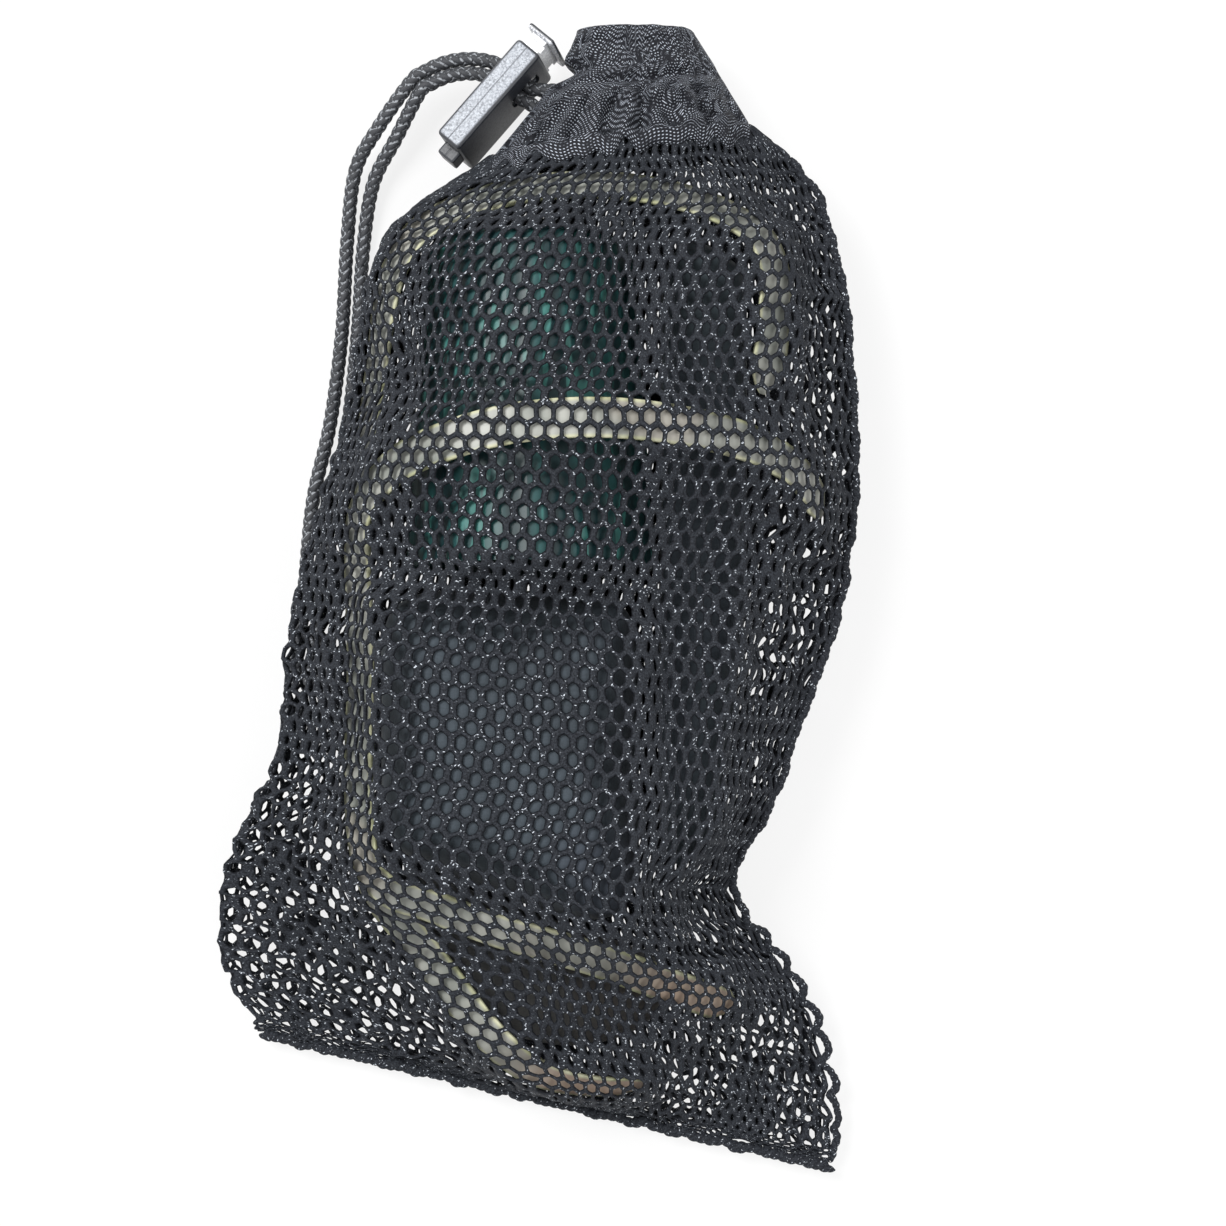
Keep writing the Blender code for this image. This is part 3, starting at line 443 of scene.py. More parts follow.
def braid(name, line, diameter, steps_round=40):
    """A braided cord along a line."""
    travelled = travelled_along(line)
    around = np.arange(steps_round) / steps_round
    relief, edge = braid_relief(around[None, :], travelled[:, None])
    closing = np.sqrt(np.clip(from_ends(travelled) / (diameter * 0.35), 0, 1))
    radius = diameter / 2 * (0.74 + 0.26 * relief) * (0.25 + 0.75 * closing)
    return tube(name, line, diameter, radius, 0.05 * MM, relief=relief, edge=edge)


# %% Braid finish
cord_finish, sums, shader = new_finish("braided cord", Roughness=0.62, Specular_IOR_Level=0.45)
cloth = sums.flat_cloth()
yarn = sums.grain(cloth, 5200.0, 2.0)
# painted glints: pale dashes along the edges of the bundles
rim = sums.value_of("edge").between(0.55, 0.85)
glint = sums.grain(cloth, 1300.0, 1.0).between(0.42, 0.58) * rim
crown = sums.value_of("relief").between(0.15, 0.85)
# painted shade: the braid is darker down in its hollows, between the crowns of its bundles
hollow_shade = sums.mix(crown, (0.004, 0.005, 0.007, 1), (0.026, 0.028, 0.033, 1))
worn_with_hollow_shade = sums.mix(yarn.between(0.45, 0.7) * 0.5, hollow_shade, (0.075, 0.08, 0.09, 1))
sums.feed(shader.inputs["Base Color"], sums.mix(glint * 0.85, worn_with_hollow_shade, (0.36, 0.38, 0.41, 1)))
sums.feed(shader.inputs["Normal"], sums.bump(yarn, 0.00012, 0.6))

# %% Lay the two cords
CORD_PITCH = CORD_DIAMETER + CORD_SPACING
cords = []
for name, radius, run, entry in (
    ("cord_outer", SLIDE_RADIUS + CORD_PITCH / 2, OUTER_RUN, OUTER_ENTRY),
    ("cord_inner", SLIDE_RADIUS - CORD_PITCH / 2, INNER_RUN, INNER_ENTRY),
):
    line = cord_route(radius, run, entry, 0.16 * MM)
    cord = braid(name, line, CORD_DIAMETER)
    cord.data.materials.append(cord_finish)
    cords.append((cord, line))
    print(name, "is", round(line_length(line) / MM, 1), "mm long")

# %% [markdown]
# Both cords end in one overhand knot. A knot is a line too: a trefoil, pulled tight into an egg-shaped lump.
# It gets the same braid, so its loops show the same chevrons.

# %% Tie the knot
knot_low, knot_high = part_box("cord_knot")
knot_middle = np.array((knot_low + knot_high) / 2)
knot_half = np.array((knot_high - knot_low) / 2)
KNOT_CORD = 2.7 * MM
turn = np.linspace(0, 2 * math.pi, 200)
trefoil = [np.sin(turn) + 2 * np.sin(2 * turn), np.cos(turn) - 2 * np.cos(2 * turn), -np.sin(3 * turn)]
trefoil = np.stack(trefoil, axis=1)
trefoil = trefoil / np.abs(trefoil).max(axis=0) * (knot_half - KNOT_CORD / 2 + 0.3 * MM)
knot = braid("knot", even_line(trefoil + knot_middle, 0.16 * MM), KNOT_CORD)
knot.data.materials.append(cord_finish)
print("knot, mm:", (2 * knot_half / MM).round(1).tolist())

for (cord, line), node in zip(cords, ("cord_tail_outer", "cord_tail_inner")):
    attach(cord, "bag")
    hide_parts(node)
    with_pieces = [knot] if node == "cord_tail_outer" else []
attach(knot, "bag")
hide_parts("cord_knot")

# %% [markdown]
# ## What lies in the bag
# Three padded bundles, a tumbler and two springy bands are kept in the bag. They're only seen through the
# holes of the net, a few millimetres at a time, so each needs the right colour and height more than fine
# detail. A bundle is soft: its sides pull in between its corners and its top is crowned. Blender's cloth can
# make that shape by blowing up a slightly smaller copy, as a pump fills a ball.

# %% Read, write and finish meshes
def mesh_points(mesh):
    places = np.zeros(len(mesh.vertices) * 3)
    mesh.vertices.foreach_get("co", places)
    return places.reshape(-1, 3)


def set_mesh_points(mesh, places):
    mesh.vertices.foreach_set("co", np.asarray(places, np.float32).ravel())
    mesh.update()


def apply_modifiers(made):
    """Leaves the piece with the mesh that its modifiers give, and no modifier."""
    bpy.context.view_layer.update()
    shape = made.evaluated_get(bpy.context.evaluated_depsgraph_get())
    mesh = bpy.data.meshes.new_from_object(shape)
    made.modifiers.clear()
    made.data = mesh


# %% Blow up a bundle with cloth
CLOTH_SCALE = 10.0  # cloth is reckoned at everyday sizes, so the copy is blown up ten times as large
PRESSURE, BUNDLE_STEPS = 30.0, 20


def puff(name, node, shrink, cap):
    """A soft bundle in a packed block's space, swelled by at most cap from a copy that much smaller."""
    low, high = (np.array(corner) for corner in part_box(node))
    mesh = frame["nodes"][node].data.copy()
    mesh.materials.clear()
    made = put_in(name, mesh)
    middle = (low + high) / 2
    smaller = (mesh_points(mesh) - middle) * (1 - 2 * shrink / (high - low))
    set_mesh_points(mesh, smaller * CLOTH_SCALE)
    mesher = made.modifiers.new("mesher", "REMESH")
    mesher.mode, mesher.voxel_size = "VOXEL", 3.2 * MM * CLOTH_SCALE
    apply_modifiers(made)
    before = mesh_points(made.data)
    cloth = made.modifiers.new("cloth", "CLOTH")
    cloth.settings.use_pressure = True
    cloth.settings.uniform_pressure_force = PRESSURE
    cloth.settings.effector_weights.gravity = 0.0
    for step in range(1, BUNDLE_STEPS + 1):
        bpy.context.scene.frame_set(step)
    apply_modifiers(made)
    bpy.context.scene.frame_set(1)
    moved = mesh_points(made.data) - before
    reach = np.linalg.norm(moved, axis=1, keepdims=True)
    print(name, "swelled by up to", round(float(reach.max()) / MM / CLOTH_SCALE, 1), "mm")
    before = before + moved * np.minimum(1, cap * CLOTH_SCALE / np.maximum(reach, 1e-9))
    set_mesh_points(made.data, np.clip(before / CLOTH_SCALE + middle, low, high))
    rounder = made.modifiers.new("rounder", "SUBSURF")
    rounder.levels = rounder.render_levels = 1
    apply_modifiers(made)
    made.data.shade_smooth()
    return made


# %% Bundle finishes
def bundle_finish(name, dark, light, stain):
    """Woven cloth: fine threads both ways, soft patches of shade, and here and there a stain."""
    made, sums, shader = new_finish(name, Roughness=0.8, Sheen_Weight=0.15)
    place = sums.place()
    threads = sums.grain(sums.vector("MULTIPLY", place, (1, 0.25, 1)), 2600.0, 1.0)
    cross = sums.grain(sums.vector("MULTIPLY", place, (0.25, 1, 1)), 2600.0, 1.0)
    patches = sums.grain(place, 38.0, 3.0).between(0.35, 0.68)
    weave = (threads + cross).between(0.75, 1.25)
    cloth = sums.mix(patches * 0.65 + weave * 0.35, dark, light)
    blot = sums.grain(place, 22.0, 1.0).between(0.54, 0.66)
    sums.feed(shader.inputs["Base Color"], sums.mix(blot * 0.6, cloth, stain))
    sums.feed(shader.inputs["Normal"], sums.bump(threads + cross, 0.0001, 0.5))
    return made


BUNDLE_SHRINK, SWELL_CAP = 1.6 * MM, 2.2 * MM
BUNDLE_COLOURS = {  # in shade, in light and stained
    "main": ((0.019, 0.027, 0.035, 1), (0.040, 0.054, 0.068, 1), (0.030, 0.037, 0.055, 1)),
    "side": ((0.022, 0.031, 0.041, 1), (0.045, 0.059, 0.074, 1), (0.034, 0.050, 0.058, 1)),
    "base": ((0.044, 0.046, 0.048, 1), (0.076, 0.075, 0.071, 1), (0.092, 0.070, 0.055, 1)),
}
for part, colours in BUNDLE_COLOURS.items():
    name, node = "bundle_" + part, "kit_pad_" + part
    bundle = puff(name, node, BUNDLE_SHRINK, SWELL_CAP)
    bundle.data.materials.append(bundle_finish(name, *colours))
    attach(bundle, "bag")
    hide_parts(node)
    "side_pad" if node == "kit_pad_side" else "pad"

# %% [markdown]
# The bands are strips of pale plastic with a bead along each edge that gathers the light, painted in as a
# yellow-green highlight. The imported strips are swept from plain rings of six points. Their line can be read
# back by
# walking the mesh ring by ring: the points one edge away from a ring, and not yet seen, are the next ring. A
# finer cross-section is then swept along the very same line, so it can't be out of place.

# %% Read a strip's rings back from its mesh
def rings_of(node):
    """The cross-sections of a packed strip, from its upper end to its lower end."""
    mesh = frame["nodes"][node].data
    places, merged = np.unique(np.round(mesh_points(mesh), 6), axis=0, return_inverse=True)
    merged = merged.ravel()
    joined = [set() for _ in places]
    for edge in mesh.edges:
        a, b = merged[edge.vertices[0]], merged[edge.vertices[1]]
        joined[a].add(b)
        joined[b].add(a)

    def layers(first):
        found, seen = [sorted(first)], set(first)
        while found[-1]:
            following = {b for a in found[-1] for b in joined[a]} - seen
            seen |= following
            found.append(sorted(following))
        return found[:-1]

    rings = np.array([places[ring] for ring in layers(layers([0])[-1])])
    if rings[0, :, 1].mean() < rings[-1, :, 1].mean():
        rings = rings[::-1]
    print(node, "has", len(rings), "rings of", rings.shape[1])
    return rings


def strip_line(node):
    """The middle of each ring of a strip, the way across its width there, its width and its thickness."""
    middles, ways, widths, heights = [], [], [], []
    for ring in rings_of(node):
        apart = np.linalg.norm(ring[:, None] - ring[None], axis=2)
        one, other = np.unravel_index(apart.argmax(), apart.shape)
        way = (ring[one] - ring[other]) / apart.max()
        if ways and way.dot(ways[-1]) < 0:
            way = -way
        from_middle = ring - ring.mean(axis=0)
        from_middle -= np.outer(from_middle @ way, way)
        middles.append(ring.mean(axis=0))
        ways.append(way)
        widths.append(apart.max())
        heights.append(2 * np.linalg.norm(from_middle, axis=1).max())
    return np.array(middles), np.array(ways), float(np.mean(widths)), float(np.mean(heights))


# %% Sweep a band
def sweep_band(name, node, finish):
    middles, ways, wide, thick = strip_line(node)
    line = smooth_line(np.hstack([middles, ways * MM]), 1.0 * MM)
    places = line[:, :3]
    along = unit(np.gradient(places, axis=0))
    side = unit(line[:, 3:])
    side = unit(side - along * (along * side).sum(axis=1, keepdims=True))
    face = np.cross(along, side)
    turn = np.linspace(0, 2 * math.pi, 28, endpoint=False)
    across = np.sign(np.cos(turn)) * np.abs(np.cos(turn)) ** 0.7
    bead = 0.62 + 0.38 * np.abs(across) ** 6
    rise = np.sign(np.sin(turn)) * np.abs(np.sin(turn)) ** 0.5 * bead
    travelled = np.arange(len(line)) / len(line)
    closing = np.sqrt(np.clip(np.minimum(travelled, 1 - travelled) * 60, 0.02, 1))[:, None, None]
    grid = places[:, None] + closing * (
        side[:, None] * (across * wide / 2)[None, :, None]
        + face[:, None] * (rise * thick / 2)[None, :, None]
    )
    edge = np.broadcast_to(np.abs(across), grid.shape[:2])
    ends = np.broadcast_to(travelled[:, None], grid.shape[:2])
    made = skin(name, grid, wrap=True, numbers={"edge": edge, "share": ends}, caps=True)
    made.data.materials.append(finish)
    return made


# %% Band finish
band_finish, sums, shader = new_finish("pale springy plastic", Specular_IOR_Level=0.4)
place = sums.place()
edge = sums.value_of("edge")
clouds = sums.grain(place, 95.0, 2.0)
drawn = sums.grain(sums.vector("MULTIPLY", place, (1, 0.2, 0.4)), 1300.0, 2.0)
middle = sums.mix(clouds.between(0.3, 0.7), (0.23, 0.245, 0.22, 1), (0.43, 0.435, 0.395, 1))
low_end = sums.value_of("share").between(0.88, 0.96)
warm = low_end * 0.8 + sums.grain(place, 30.0, 1.0).between(0.56, 0.66) * 0.2
middle = sums.mix(warm, middle, (0.50, 0.37, 0.28, 1))
# painted highlight: the beads along the edges are lighter and yellow-green
bead_highlight = sums.mix(clouds.between(0.35, 0.6), (0.38, 0.39, 0.23, 1), (0.58, 0.58, 0.40, 1))
sums.feed(shader.inputs["Base Color"], sums.mix(edge.between(0.72, 0.93), middle, bead_highlight))
sums.feed(shader.inputs["Roughness"], 0.32 + drawn * 0.2)
sums.feed(shader.inputs["Normal"], sums.bump(drawn, 0.00005, 0.5))
for name, node in (("band_front", "kit_band_front"), ("band_rear", "kit_band_rear")):
    band = sweep_band(name, node, band_finish)
    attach(band, "bag")
    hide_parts(node)
    print(name, "has", len(band.data.polygons), "faces")

# %% [markdown]
# The tumbler keeps its imported shape, which is right as it is. It gets a clear-looking teal plastic with
# paler moulded flutes along it, and pale streaks along it that are painted highlights.

# %% Tumbler finish
cup_low, cup_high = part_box("kit_cup")
cup_axis = (cup_low + cup_high) / 2
cup_finish, sums, shader = new_finish("teal tumbler", Roughness=0.42, Specular_IOR_Level=0.4)
place = sums.place()
sideways, _, upward = sums.parts(sums.vector("SUBTRACT", place, tuple(cup_axis)))
turned = sideways.maths("ARCTAN2", sideways, upward)
flutes = (turned * 18.0).maths("SINE", turned * 18.0)
wobble = sums.grain(sums.vector("MULTIPLY", place, (1, 0.16, 1)), 190.0, 2.0)
depth = (flutes * 0.25 + wobble * 1.3).between(0.45, 0.95)
teal = sums.mix(depth, (0.006, 0.026, 0.030, 1), (0.014, 0.068, 0.068, 1))
# painted highlight: pale streaks that run along the tumbler
streak_highlight = sums.grain(sums.vector("MULTIPLY", place, (1, 0.09, 1)), 330.0, 1.0).between(0.61, 0.67)
sums.feed(shader.inputs["Base Color"], sums.mix(streak_highlight * 0.85, teal, (0.05, 0.19, 0.17, 1)))
sums.feed(shader.inputs["Normal"], sums.bump(flutes * 0.5 + wobble, 0.0004, 0.6))
dress("kit_cup", cup_finish)
print("tumbler, mm:", [round(side / MM, 1) for side in cup_high - cup_low])

# %% [markdown]
# ## The net
# The net is one tube of knitted fabric with six-sided holes, about 4 mm apart, pointed along the bag. Three
# steps make it. Then the flat fabric's columns and rows are laid out over that skin: they keep their true
# spacing where the net is taut and crowd together where it's slack. Last, each cell of the fabric is built
# there as a real ring of yarn round a real hole.

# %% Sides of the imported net
NET_NODES = [name for name in ("net_body", "net_foot") if name in frame["nodes"]]


def edges_of(*nodes):
    """The two ends of every mesh edge of the nodes."""
    ends = []
    for node in nodes:
        mesh = frame["nodes"][node].data
        ends.append(mesh_points(mesh)[np.array([edge.vertices[:] for edge in mesh.edges])])
    return np.concatenate(ends)


def side_of(edges, y, pick):
    """Where an outline crosses y, on the side that pick chooses: min or max."""
    a, b = edges[:, 0], edges[:, 1]
    crossed = (a[:, 1] - y) * (b[:, 1] - y) <= 0
    a, b = a[crossed], b[crossed]
    rise = b[:, 1] - a[:, 1]
    share = np.where(np.abs(rise) < 1e-9, 0, (y - a[:, 1]) / np.where(np.abs(rise) < 1e-9, 1, rise))
    return pick(a[:, 0] + (b[:, 0] - a[:, 0]) * share)


net_edges = edges_of(*NET_NODES)


def corner(node, pick):
    """The net's own point nearest to the left or the right end of the piece that it is sewn to."""
    ends = mesh_points(frame["nodes"][node].data)
    end = ends[pick(ends[:, 0])]
    net_points = net_edges.reshape(-1, 3)
    return net_points[np.linalg.norm(net_points - end, axis=1).argmin()]


foot_left, foot_right = corner("bottom_seam", np.argmin), corner("bottom_seam", np.argmax)
neck_left, neck_right = corner("casing", np.argmin), corner("casing", np.argmax)
net_corners = (foot_left, foot_right, neck_left, neck_right)
print("net's corners, mm:", [(place[:2] / MM).round(1).tolist() for place in net_corners])

# %% Share the rows out evenly along both sides
ACROSS, ALONG = 121, 141
margin = 0.15 * MM
left_y = np.linspace(foot_left[1], neck_left[1] - margin, ALONG)
right_y = np.linspace(foot_right[1] + margin, neck_right[1] - margin, ALONG)
left = np.array([(side_of(net_edges, y, np.min), y) for y in left_y])
right = np.array([(side_of(net_edges, y, np.max), y) for y in right_y])
share_across = np.linspace(0, 1, ACROSS)[None, :, None]
plan = left[:, None] * (1 - share_across) + right[:, None] * share_across
foot_way = unit(right[0] - left[0])
print("net at its widest, mm:", round((right[:, 0] - left[:, 0]).max() / MM, 1))

# %% Heights by dropping rays
def tree_of(*nodes):
    places, faces = [], []
    for node in nodes:
        mesh = frame["nodes"][node].data
        faces += [[v + len(places) for v in face.vertices] for face in mesh.polygons]
        places += [v.co.copy() for v in mesh.vertices]
    return BVHTree.FromPolygons(places, faces)


def drop(tree, x, y, way=-1.0, missed=-1.0):
    """The height at which a plumb line meets the pieces, from above or, with way=1, from below."""
    hit = tree.ray_cast(Vector((x, y, -way)), Vector((0, 0, way)))[0]
    return missed if hit is None else hit.z


BAND_NODES = ("kit_band_front", "kit_band_rear")
KIT_NODES = ("kit_pad_main", "kit_pad_side", "kit_pad_base", "kit_cup", *BAND_NODES)
net_tree, kit_tree = tree_of(*NET_NODES), tree_of(*KIT_NODES)


def edge_height(at, side):
    x, y = plan[at, side] * 0.985 + plan[at, ACROSS // 2] * 0.015
    return (drop(net_tree, x, y) + drop(net_tree, x, y, 1.0)) / 2


left_height = np.array([edge_height(at, 0) for at in range(ALONG)])
right_height = np.array([edge_height(at, -1) for at in range(ALONG)])
print("edge heights, mm:", round(left_height.min() / MM, 1), "to", round(right_height.max() / MM, 1))

NET_GAP = 0.62 * MM
FEELERS = [  # mm from the place that is felt
    (0, 0), (1.2, 0), (-1.2, 0), (0, 1.2), (0, -1.2), (0.9, 0.9), (-0.9, 0.9), (0.9, -0.9), (-0.9, -0.9)
]
SETTLING_SWEEPS, EVENING_SWEEPS = 2600, 40
held = np.full((ALONG, ACROSS), -1.0)
for at in range(ALONG):
    for across in range(ACROSS):
        x, y = plan[at, across]
        held[at, across] = max(drop(kit_tree, x + dx * MM, y + dy * MM) for dx, dy in FEELERS)
held = held + NET_GAP
mouth_low, mouth_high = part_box("casing")
mouth_middle = (mouth_low.z + mouth_high.z) / 2
span = np.linspace(0, 1, ACROSS)
arch = np.sqrt(np.clip(1 - (2 * span - 1) ** 2, 0, 1))
height = left_height[:, None] * (1 - span) + right_height[:, None] * span
height[0] = left_height[0]
height[-1] = mouth_middle + (mouth_high.z - mouth_middle) * arch
up_the_bag = np.linspace(0, 1, ALONG)
sag = np.interp(up_the_bag, (0.80, 0.93), (0.012 * MM, 0.045 * MM))[1:-1, None]  # slacker near the neck
step_across, step_along = 1.0 / 1.15**2, 1.0 / 1.6**2
whole = 2 * (step_across + step_along)
for _ in range(SETTLING_SWEEPS):
    spread = (height[1:-1, :-2] + height[1:-1, 2:]) * step_across
    spread += (height[:-2, 1:-1] + height[2:, 1:-1]) * step_along
    height[1:-1, 1:-1] = np.maximum(spread / whole - sag, held[1:-1, 1:-1])
print("net over the load, mm:", round(height.max() / MM, 1))

# %% Creases where the net is slack
def ripple(x, y, seed, size):
    """Smooth waves that never repeat: a sum of sines whose ways and phases come from the seed."""
    chance = np.random.default_rng(seed)
    total = np.zeros_like(x)
    for number in range(7):
        way = chance.uniform(0, math.pi)
        length = size * chance.uniform(0.7, 1.6)
        phase = chance.uniform(0, 2 * math.pi)
        total += np.sin((x * math.cos(way) + y * math.sin(way)) * 2 * math.pi / length + phase)
    return total / 7**0.5


slack = np.clip((height - held) / (3.0 * MM), 0, 1)
inwards = np.minimum(span, 1 - span)[None, :]
row_number = np.arange(ALONG)
rows_in = np.minimum(row_number, ALONG - 1 - row_number)[:, None]
fade = np.clip(inwards / 0.05, 0, 1) * np.clip(rows_in / 6, 0, 1)
x, y = plan[..., 0], plan[..., 1]
creases = ripple(x * 1.5, y * 0.55, 3, 15 * MM) * 0.9 + ripple(x * 1.3, y * 0.8, 8, 8 * MM) * 0.45
near_neck = np.clip(1 - np.hypot(x - neck_right[0], y - neck_right[1]) / (34 * MM), 0, 1)
crumple = ripple(x, y * 0.8, 31, 7 * MM) * 1.5 + ripple(x * 0.8, y, 32, 4.2 * MM) * 0.7
height = height + (creases * (0.12 + 0.95 * slack) + crumple * near_neck) * fade * MM
height = np.maximum(height, held - 0.35 * MM)

# %% The underside
under = np.zeros((ALONG, ACROSS))
for at in range(ALONG):
    for across in range(ACROSS):
        x_at, y_at = plan[at, across] * 0.99 + plan[at, ACROSS // 2] * 0.01
        under[at, across] = drop(net_tree, x_at, y_at, 1.0, 0.0)
rise = np.clip(1 - np.arange(ALONG) / 9, 0, 1)[:, None] ** 2
under = under * (1 - rise) + left_height[0] * rise
under = np.maximum(under + 0.1 * MM, 0.62 * MM + np.abs(ripple(x, y, 5, 12 * MM)) * 0.25 * MM)
under[:, 0], under[:, -1] = height[:, 0], height[:, -1]
under[-1] = mouth_middle - (mouth_middle - mouth_low.z - 0.4 * MM) * arch

# %% [markdown]
# The fabric has 88 columns round and about 70 rows. A spine runs up the front through the middles of the
# stored pieces, where the net is drawn tight, and the columns are counted outwards from it. Each keeps its
# 4 mm where the net is held up from below. The ones that are left over go where it hangs free, because
# fabric that nothing stretches is the fabric that crumples.

# %% Columns and rows of the flat fabric
COLUMN, ROW = 4.0 * MM, 3.5 * MM
LEFT_COLUMNS, RIGHT_COLUMNS, UNDER_COLUMNS = 17, 24, 47
COLUMNS = LEFT_COLUMNS + RIGHT_COLUMNS + UNDER_COLUMNS
FRONT_COLUMNS = LEFT_COLUMNS + RIGHT_COLUMNS
SPINE_NODES = ("kit_pad_base", "kit_pad_main", "kit_cup", "casing")
TAUT_CROWD = 0.06  # the crowding that even tight net gets its share of, against 1 where it hangs free
foot_middle, neck_middle = (left[0, 1] + right[0, 1]) / 2, (left[-1, 1] + right[-1, 1]) / 2
spine_along, spine_across = [], []
for node in SPINE_NODES:
    low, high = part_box(node)
    middle = (low + high) / 2
    share = (middle.y - foot_middle) / (neck_middle - foot_middle)
    left_x, right_x = [np.interp(share, np.linspace(0, 1, ALONG), side[:, 0]) for side in (left, right)]
    spine_along.append(share)
    spine_across.append((middle.x - left_x) / (right_x - left_x))
print("spine, share across:", np.round(spine_across, 2).tolist())
crowding = slack + TAUT_CROWD
for _ in range(EVENING_SWEEPS):
    around = crowding[1:-1, :-2] + crowding[1:-1, 2:] + crowding[:-2, 1:-1] + crowding[2:, 1:-1]
    crowding[1:-1, 1:-1] = around / 4


def between_points(grid, row, column):
    """A value from a grid at a row and a column that may be fractions. The last column leads to the first."""
    row_before, column_before = np.floor(row).astype(int), np.floor(column).astype(int)
    down, over = row - row_before, column - column_before
    if grid.ndim == 3:
        down, over = down[..., None], over[..., None]
    left_of, right_of = column_before % grid.shape[1], (column_before + 1) % grid.shape[1]
    first = grid[row_before, left_of] * (1 - over) + grid[row_before, right_of] * over
    second = grid[row_before + 1, left_of] * (1 - over) + grid[row_before + 1, right_of] * over
    return first * (1 - down) + second * down


def sample(grid, along, across):
    """A value from a grid by where it lies along and across, from 0 to 1 each way."""
    rows, columns = grid.shape[:2]
    row = np.clip(np.asarray(along, float) * (rows - 1), 0, rows - 1.001)
    column = np.clip(np.asarray(across, float) * (columns - 1), 0, columns - 1.001)
    return between_points(grid, row, column)


front = np.dstack([plan, height])
back = np.dstack([plan, under])
spine_at = np.linspace(0, 1, 500)
spine = sample(front, spine_at, np.interp(spine_at, spine_along, spine_across))
spine_length = travelled_along(spine)
ROWS = round(spine_length[-1] / ROW)
row_along = np.interp(np.linspace(0, ROWS, ROWS * 2 + 1), spine_length / spine_length[-1] * ROWS, spine_at)
print("rows:", ROWS, "columns:", COLUMNS, "flat fabric, mm:", COLUMNS * COLUMN / MM, "x", ROWS * ROW / MM)

# %% Share the columns out along each row
def columns_along(at):
    """Where each quarter column of one row lies across the front, and then across the underside."""
    fine = np.linspace(0, 1, 401)
    places = sample(front, np.full(401, at), fine)
    steps = np.linalg.norm(np.diff(places, axis=0), axis=1)
    middles = (fine[1:] + fine[:-1]) / 2
    crowd = sample(crowding, np.full(400, at), middles)
    split_at = np.interp(at, spine_along, spine_across)
    count = np.zeros(400)
    for part, columns in ((middles <= split_at, LEFT_COLUMNS), (middles > split_at, RIGHT_COLUMNS)):
        spare = columns - steps[part].sum() / COLUMN
        weight = (steps[part] * crowd[part]).sum()
        density = np.maximum(1 / COLUMN + spare * crowd[part] / weight, 0.45 / COLUMN)
        counted = density * steps[part]
        count[part] = counted / counted.sum() * columns
    counted = np.concatenate([[0], np.cumsum(count)])
    return np.interp(np.arange(FRONT_COLUMNS * 4 + 1) / 4, counted, fine)


def under_columns(at):
    fine = np.linspace(1, 0, 401)
    places = sample(back, np.full(401, at), fine)
    travelled = travelled_along(places)
    stops = np.linspace(0, travelled[-1], UNDER_COLUMNS * 4 + 1)
    return np.interp(stops, travelled, fine)


loops = []
for at in row_along:
    front_at, back_at = columns_along(at), under_columns(at)
    over = sample(front, np.full(len(front_at), at), front_at)
    below = sample(back, np.full(len(back_at), at), back_at)
    loops.append(np.vstack([over, below[1:-1]]))
loops = np.array(loops)
across_way = np.roll(loops, -1, axis=1) - np.roll(loops, 1, axis=1)
along_way = np.gradient(loops, axis=0)
loop_out = unit(np.cross(across_way, along_way))
column_width = np.linalg.norm(across_way, axis=2) * 2
narrow, wide = (np.percentile(column_width, share) / MM for share in (2, 98))
print("columns from", round(narrow, 1), "to", round(wide, 1), "mm")

# %% [markdown]
# The floor shows through both sides of the bag only where nothing is stored, and not where spare net lies
# in a fold there. The first is measured from the stored pieces. The folds are patches of a seeded ripple.

# %% Where the net is single
FINE = 1 * MM
FOLD_SIZE = 20 * MM
stored = plan[held > 0]
stored_tree = KDTree(len(stored))
for number, (x_at, y_at) in enumerate(stored):
    stored_tree.insert((x_at, y_at, 0), number)
stored_tree.balance()
fine_x = np.arange(cad_low.x, cad_high.x, FINE)
fine_y = np.arange(cad_low.y, cad_high.y, FINE)
free = np.array([[stored_tree.find((x_at, y_at, 0))[2] for x_at in fine_x] for y_at in fine_y])
print("furthest from anything stored, mm:", round(free.max() / MM, 1))


def clear_of_kit(places):
    """How far in plan each place lies from anything stored in the bag."""
    column = np.clip(((places[..., 0] - fine_x[0]) / FINE).astype(int), 0, len(fine_x) - 1)
    row = np.clip(((places[..., 1] - fine_y[0]) / FINE).astype(int), 0, len(fine_y) - 1)
    return free[row, column]


def unfolded(places):
    """Above 0 where the spare net lies single, and below 0 where it lies in a fold."""
    return ripple(places[..., 0], places[..., 1], 61, FOLD_SIZE) + 0.4


def single(places):
    """Whether the net is single there, and not doubled under the load or in a fold."""
    return (clear_of_kit(places) > 3 * MM) & (unfolded(places) > 0)


def loose(places):
    """0 to 1: how far the net's cells are pulled out of shape, where nothing holds it and it isn't folded."""
    return np.clip(clear_of_kit(places) / (5 * MM), 0, 1) * np.clip(unfolded(places) + 0.5, 0, 1)


# %% [markdown]
# A cell has twelve points on its border, which it shares with its neighbours, then a ring half-way in, and a
# ring at the hole. The border stands proud of the sheet on both faces and the hole's rim lies in it, so each
# strand is round. Yarn keeps its thickness when fabric is squeezed, so where columns crowd, the holes close.


# %% One cell of the net
BORDER = np.array([  # in quarter columns and sixths of a row
    (0, 4), (1, 3), (2, 2), (2, 0), (2, -2), (1, -3), (0, -4), (-1, -3), (-2, -2), (-2, 0), (-2, 2), (-1, 3)
])
TWELFTHS = np.arange(12) * math.pi / 6
ROUND_HOLE = np.stack([np.sin(TWELFTHS) * 0.5, np.cos(TWELFTHS) * 0.62], axis=1)
HOLE = BORDER / np.array((4, 6)) * 0.8 + ROUND_HOLE * 0.2  # six-sided, with its corners rounded
STRAND_HALF = 0.44 * MM
KEY_STEP = 100000  # more than the sixths of a row in the whole net, so that no two places share a key


def around_net(column, row, grid):
    """A value of the loops at any column and row, going round past the last column to the first."""
    return between_points(grid, np.clip(row * 2, 0, ROWS * 2 - 0.001), (column % COLUMNS) * 4)


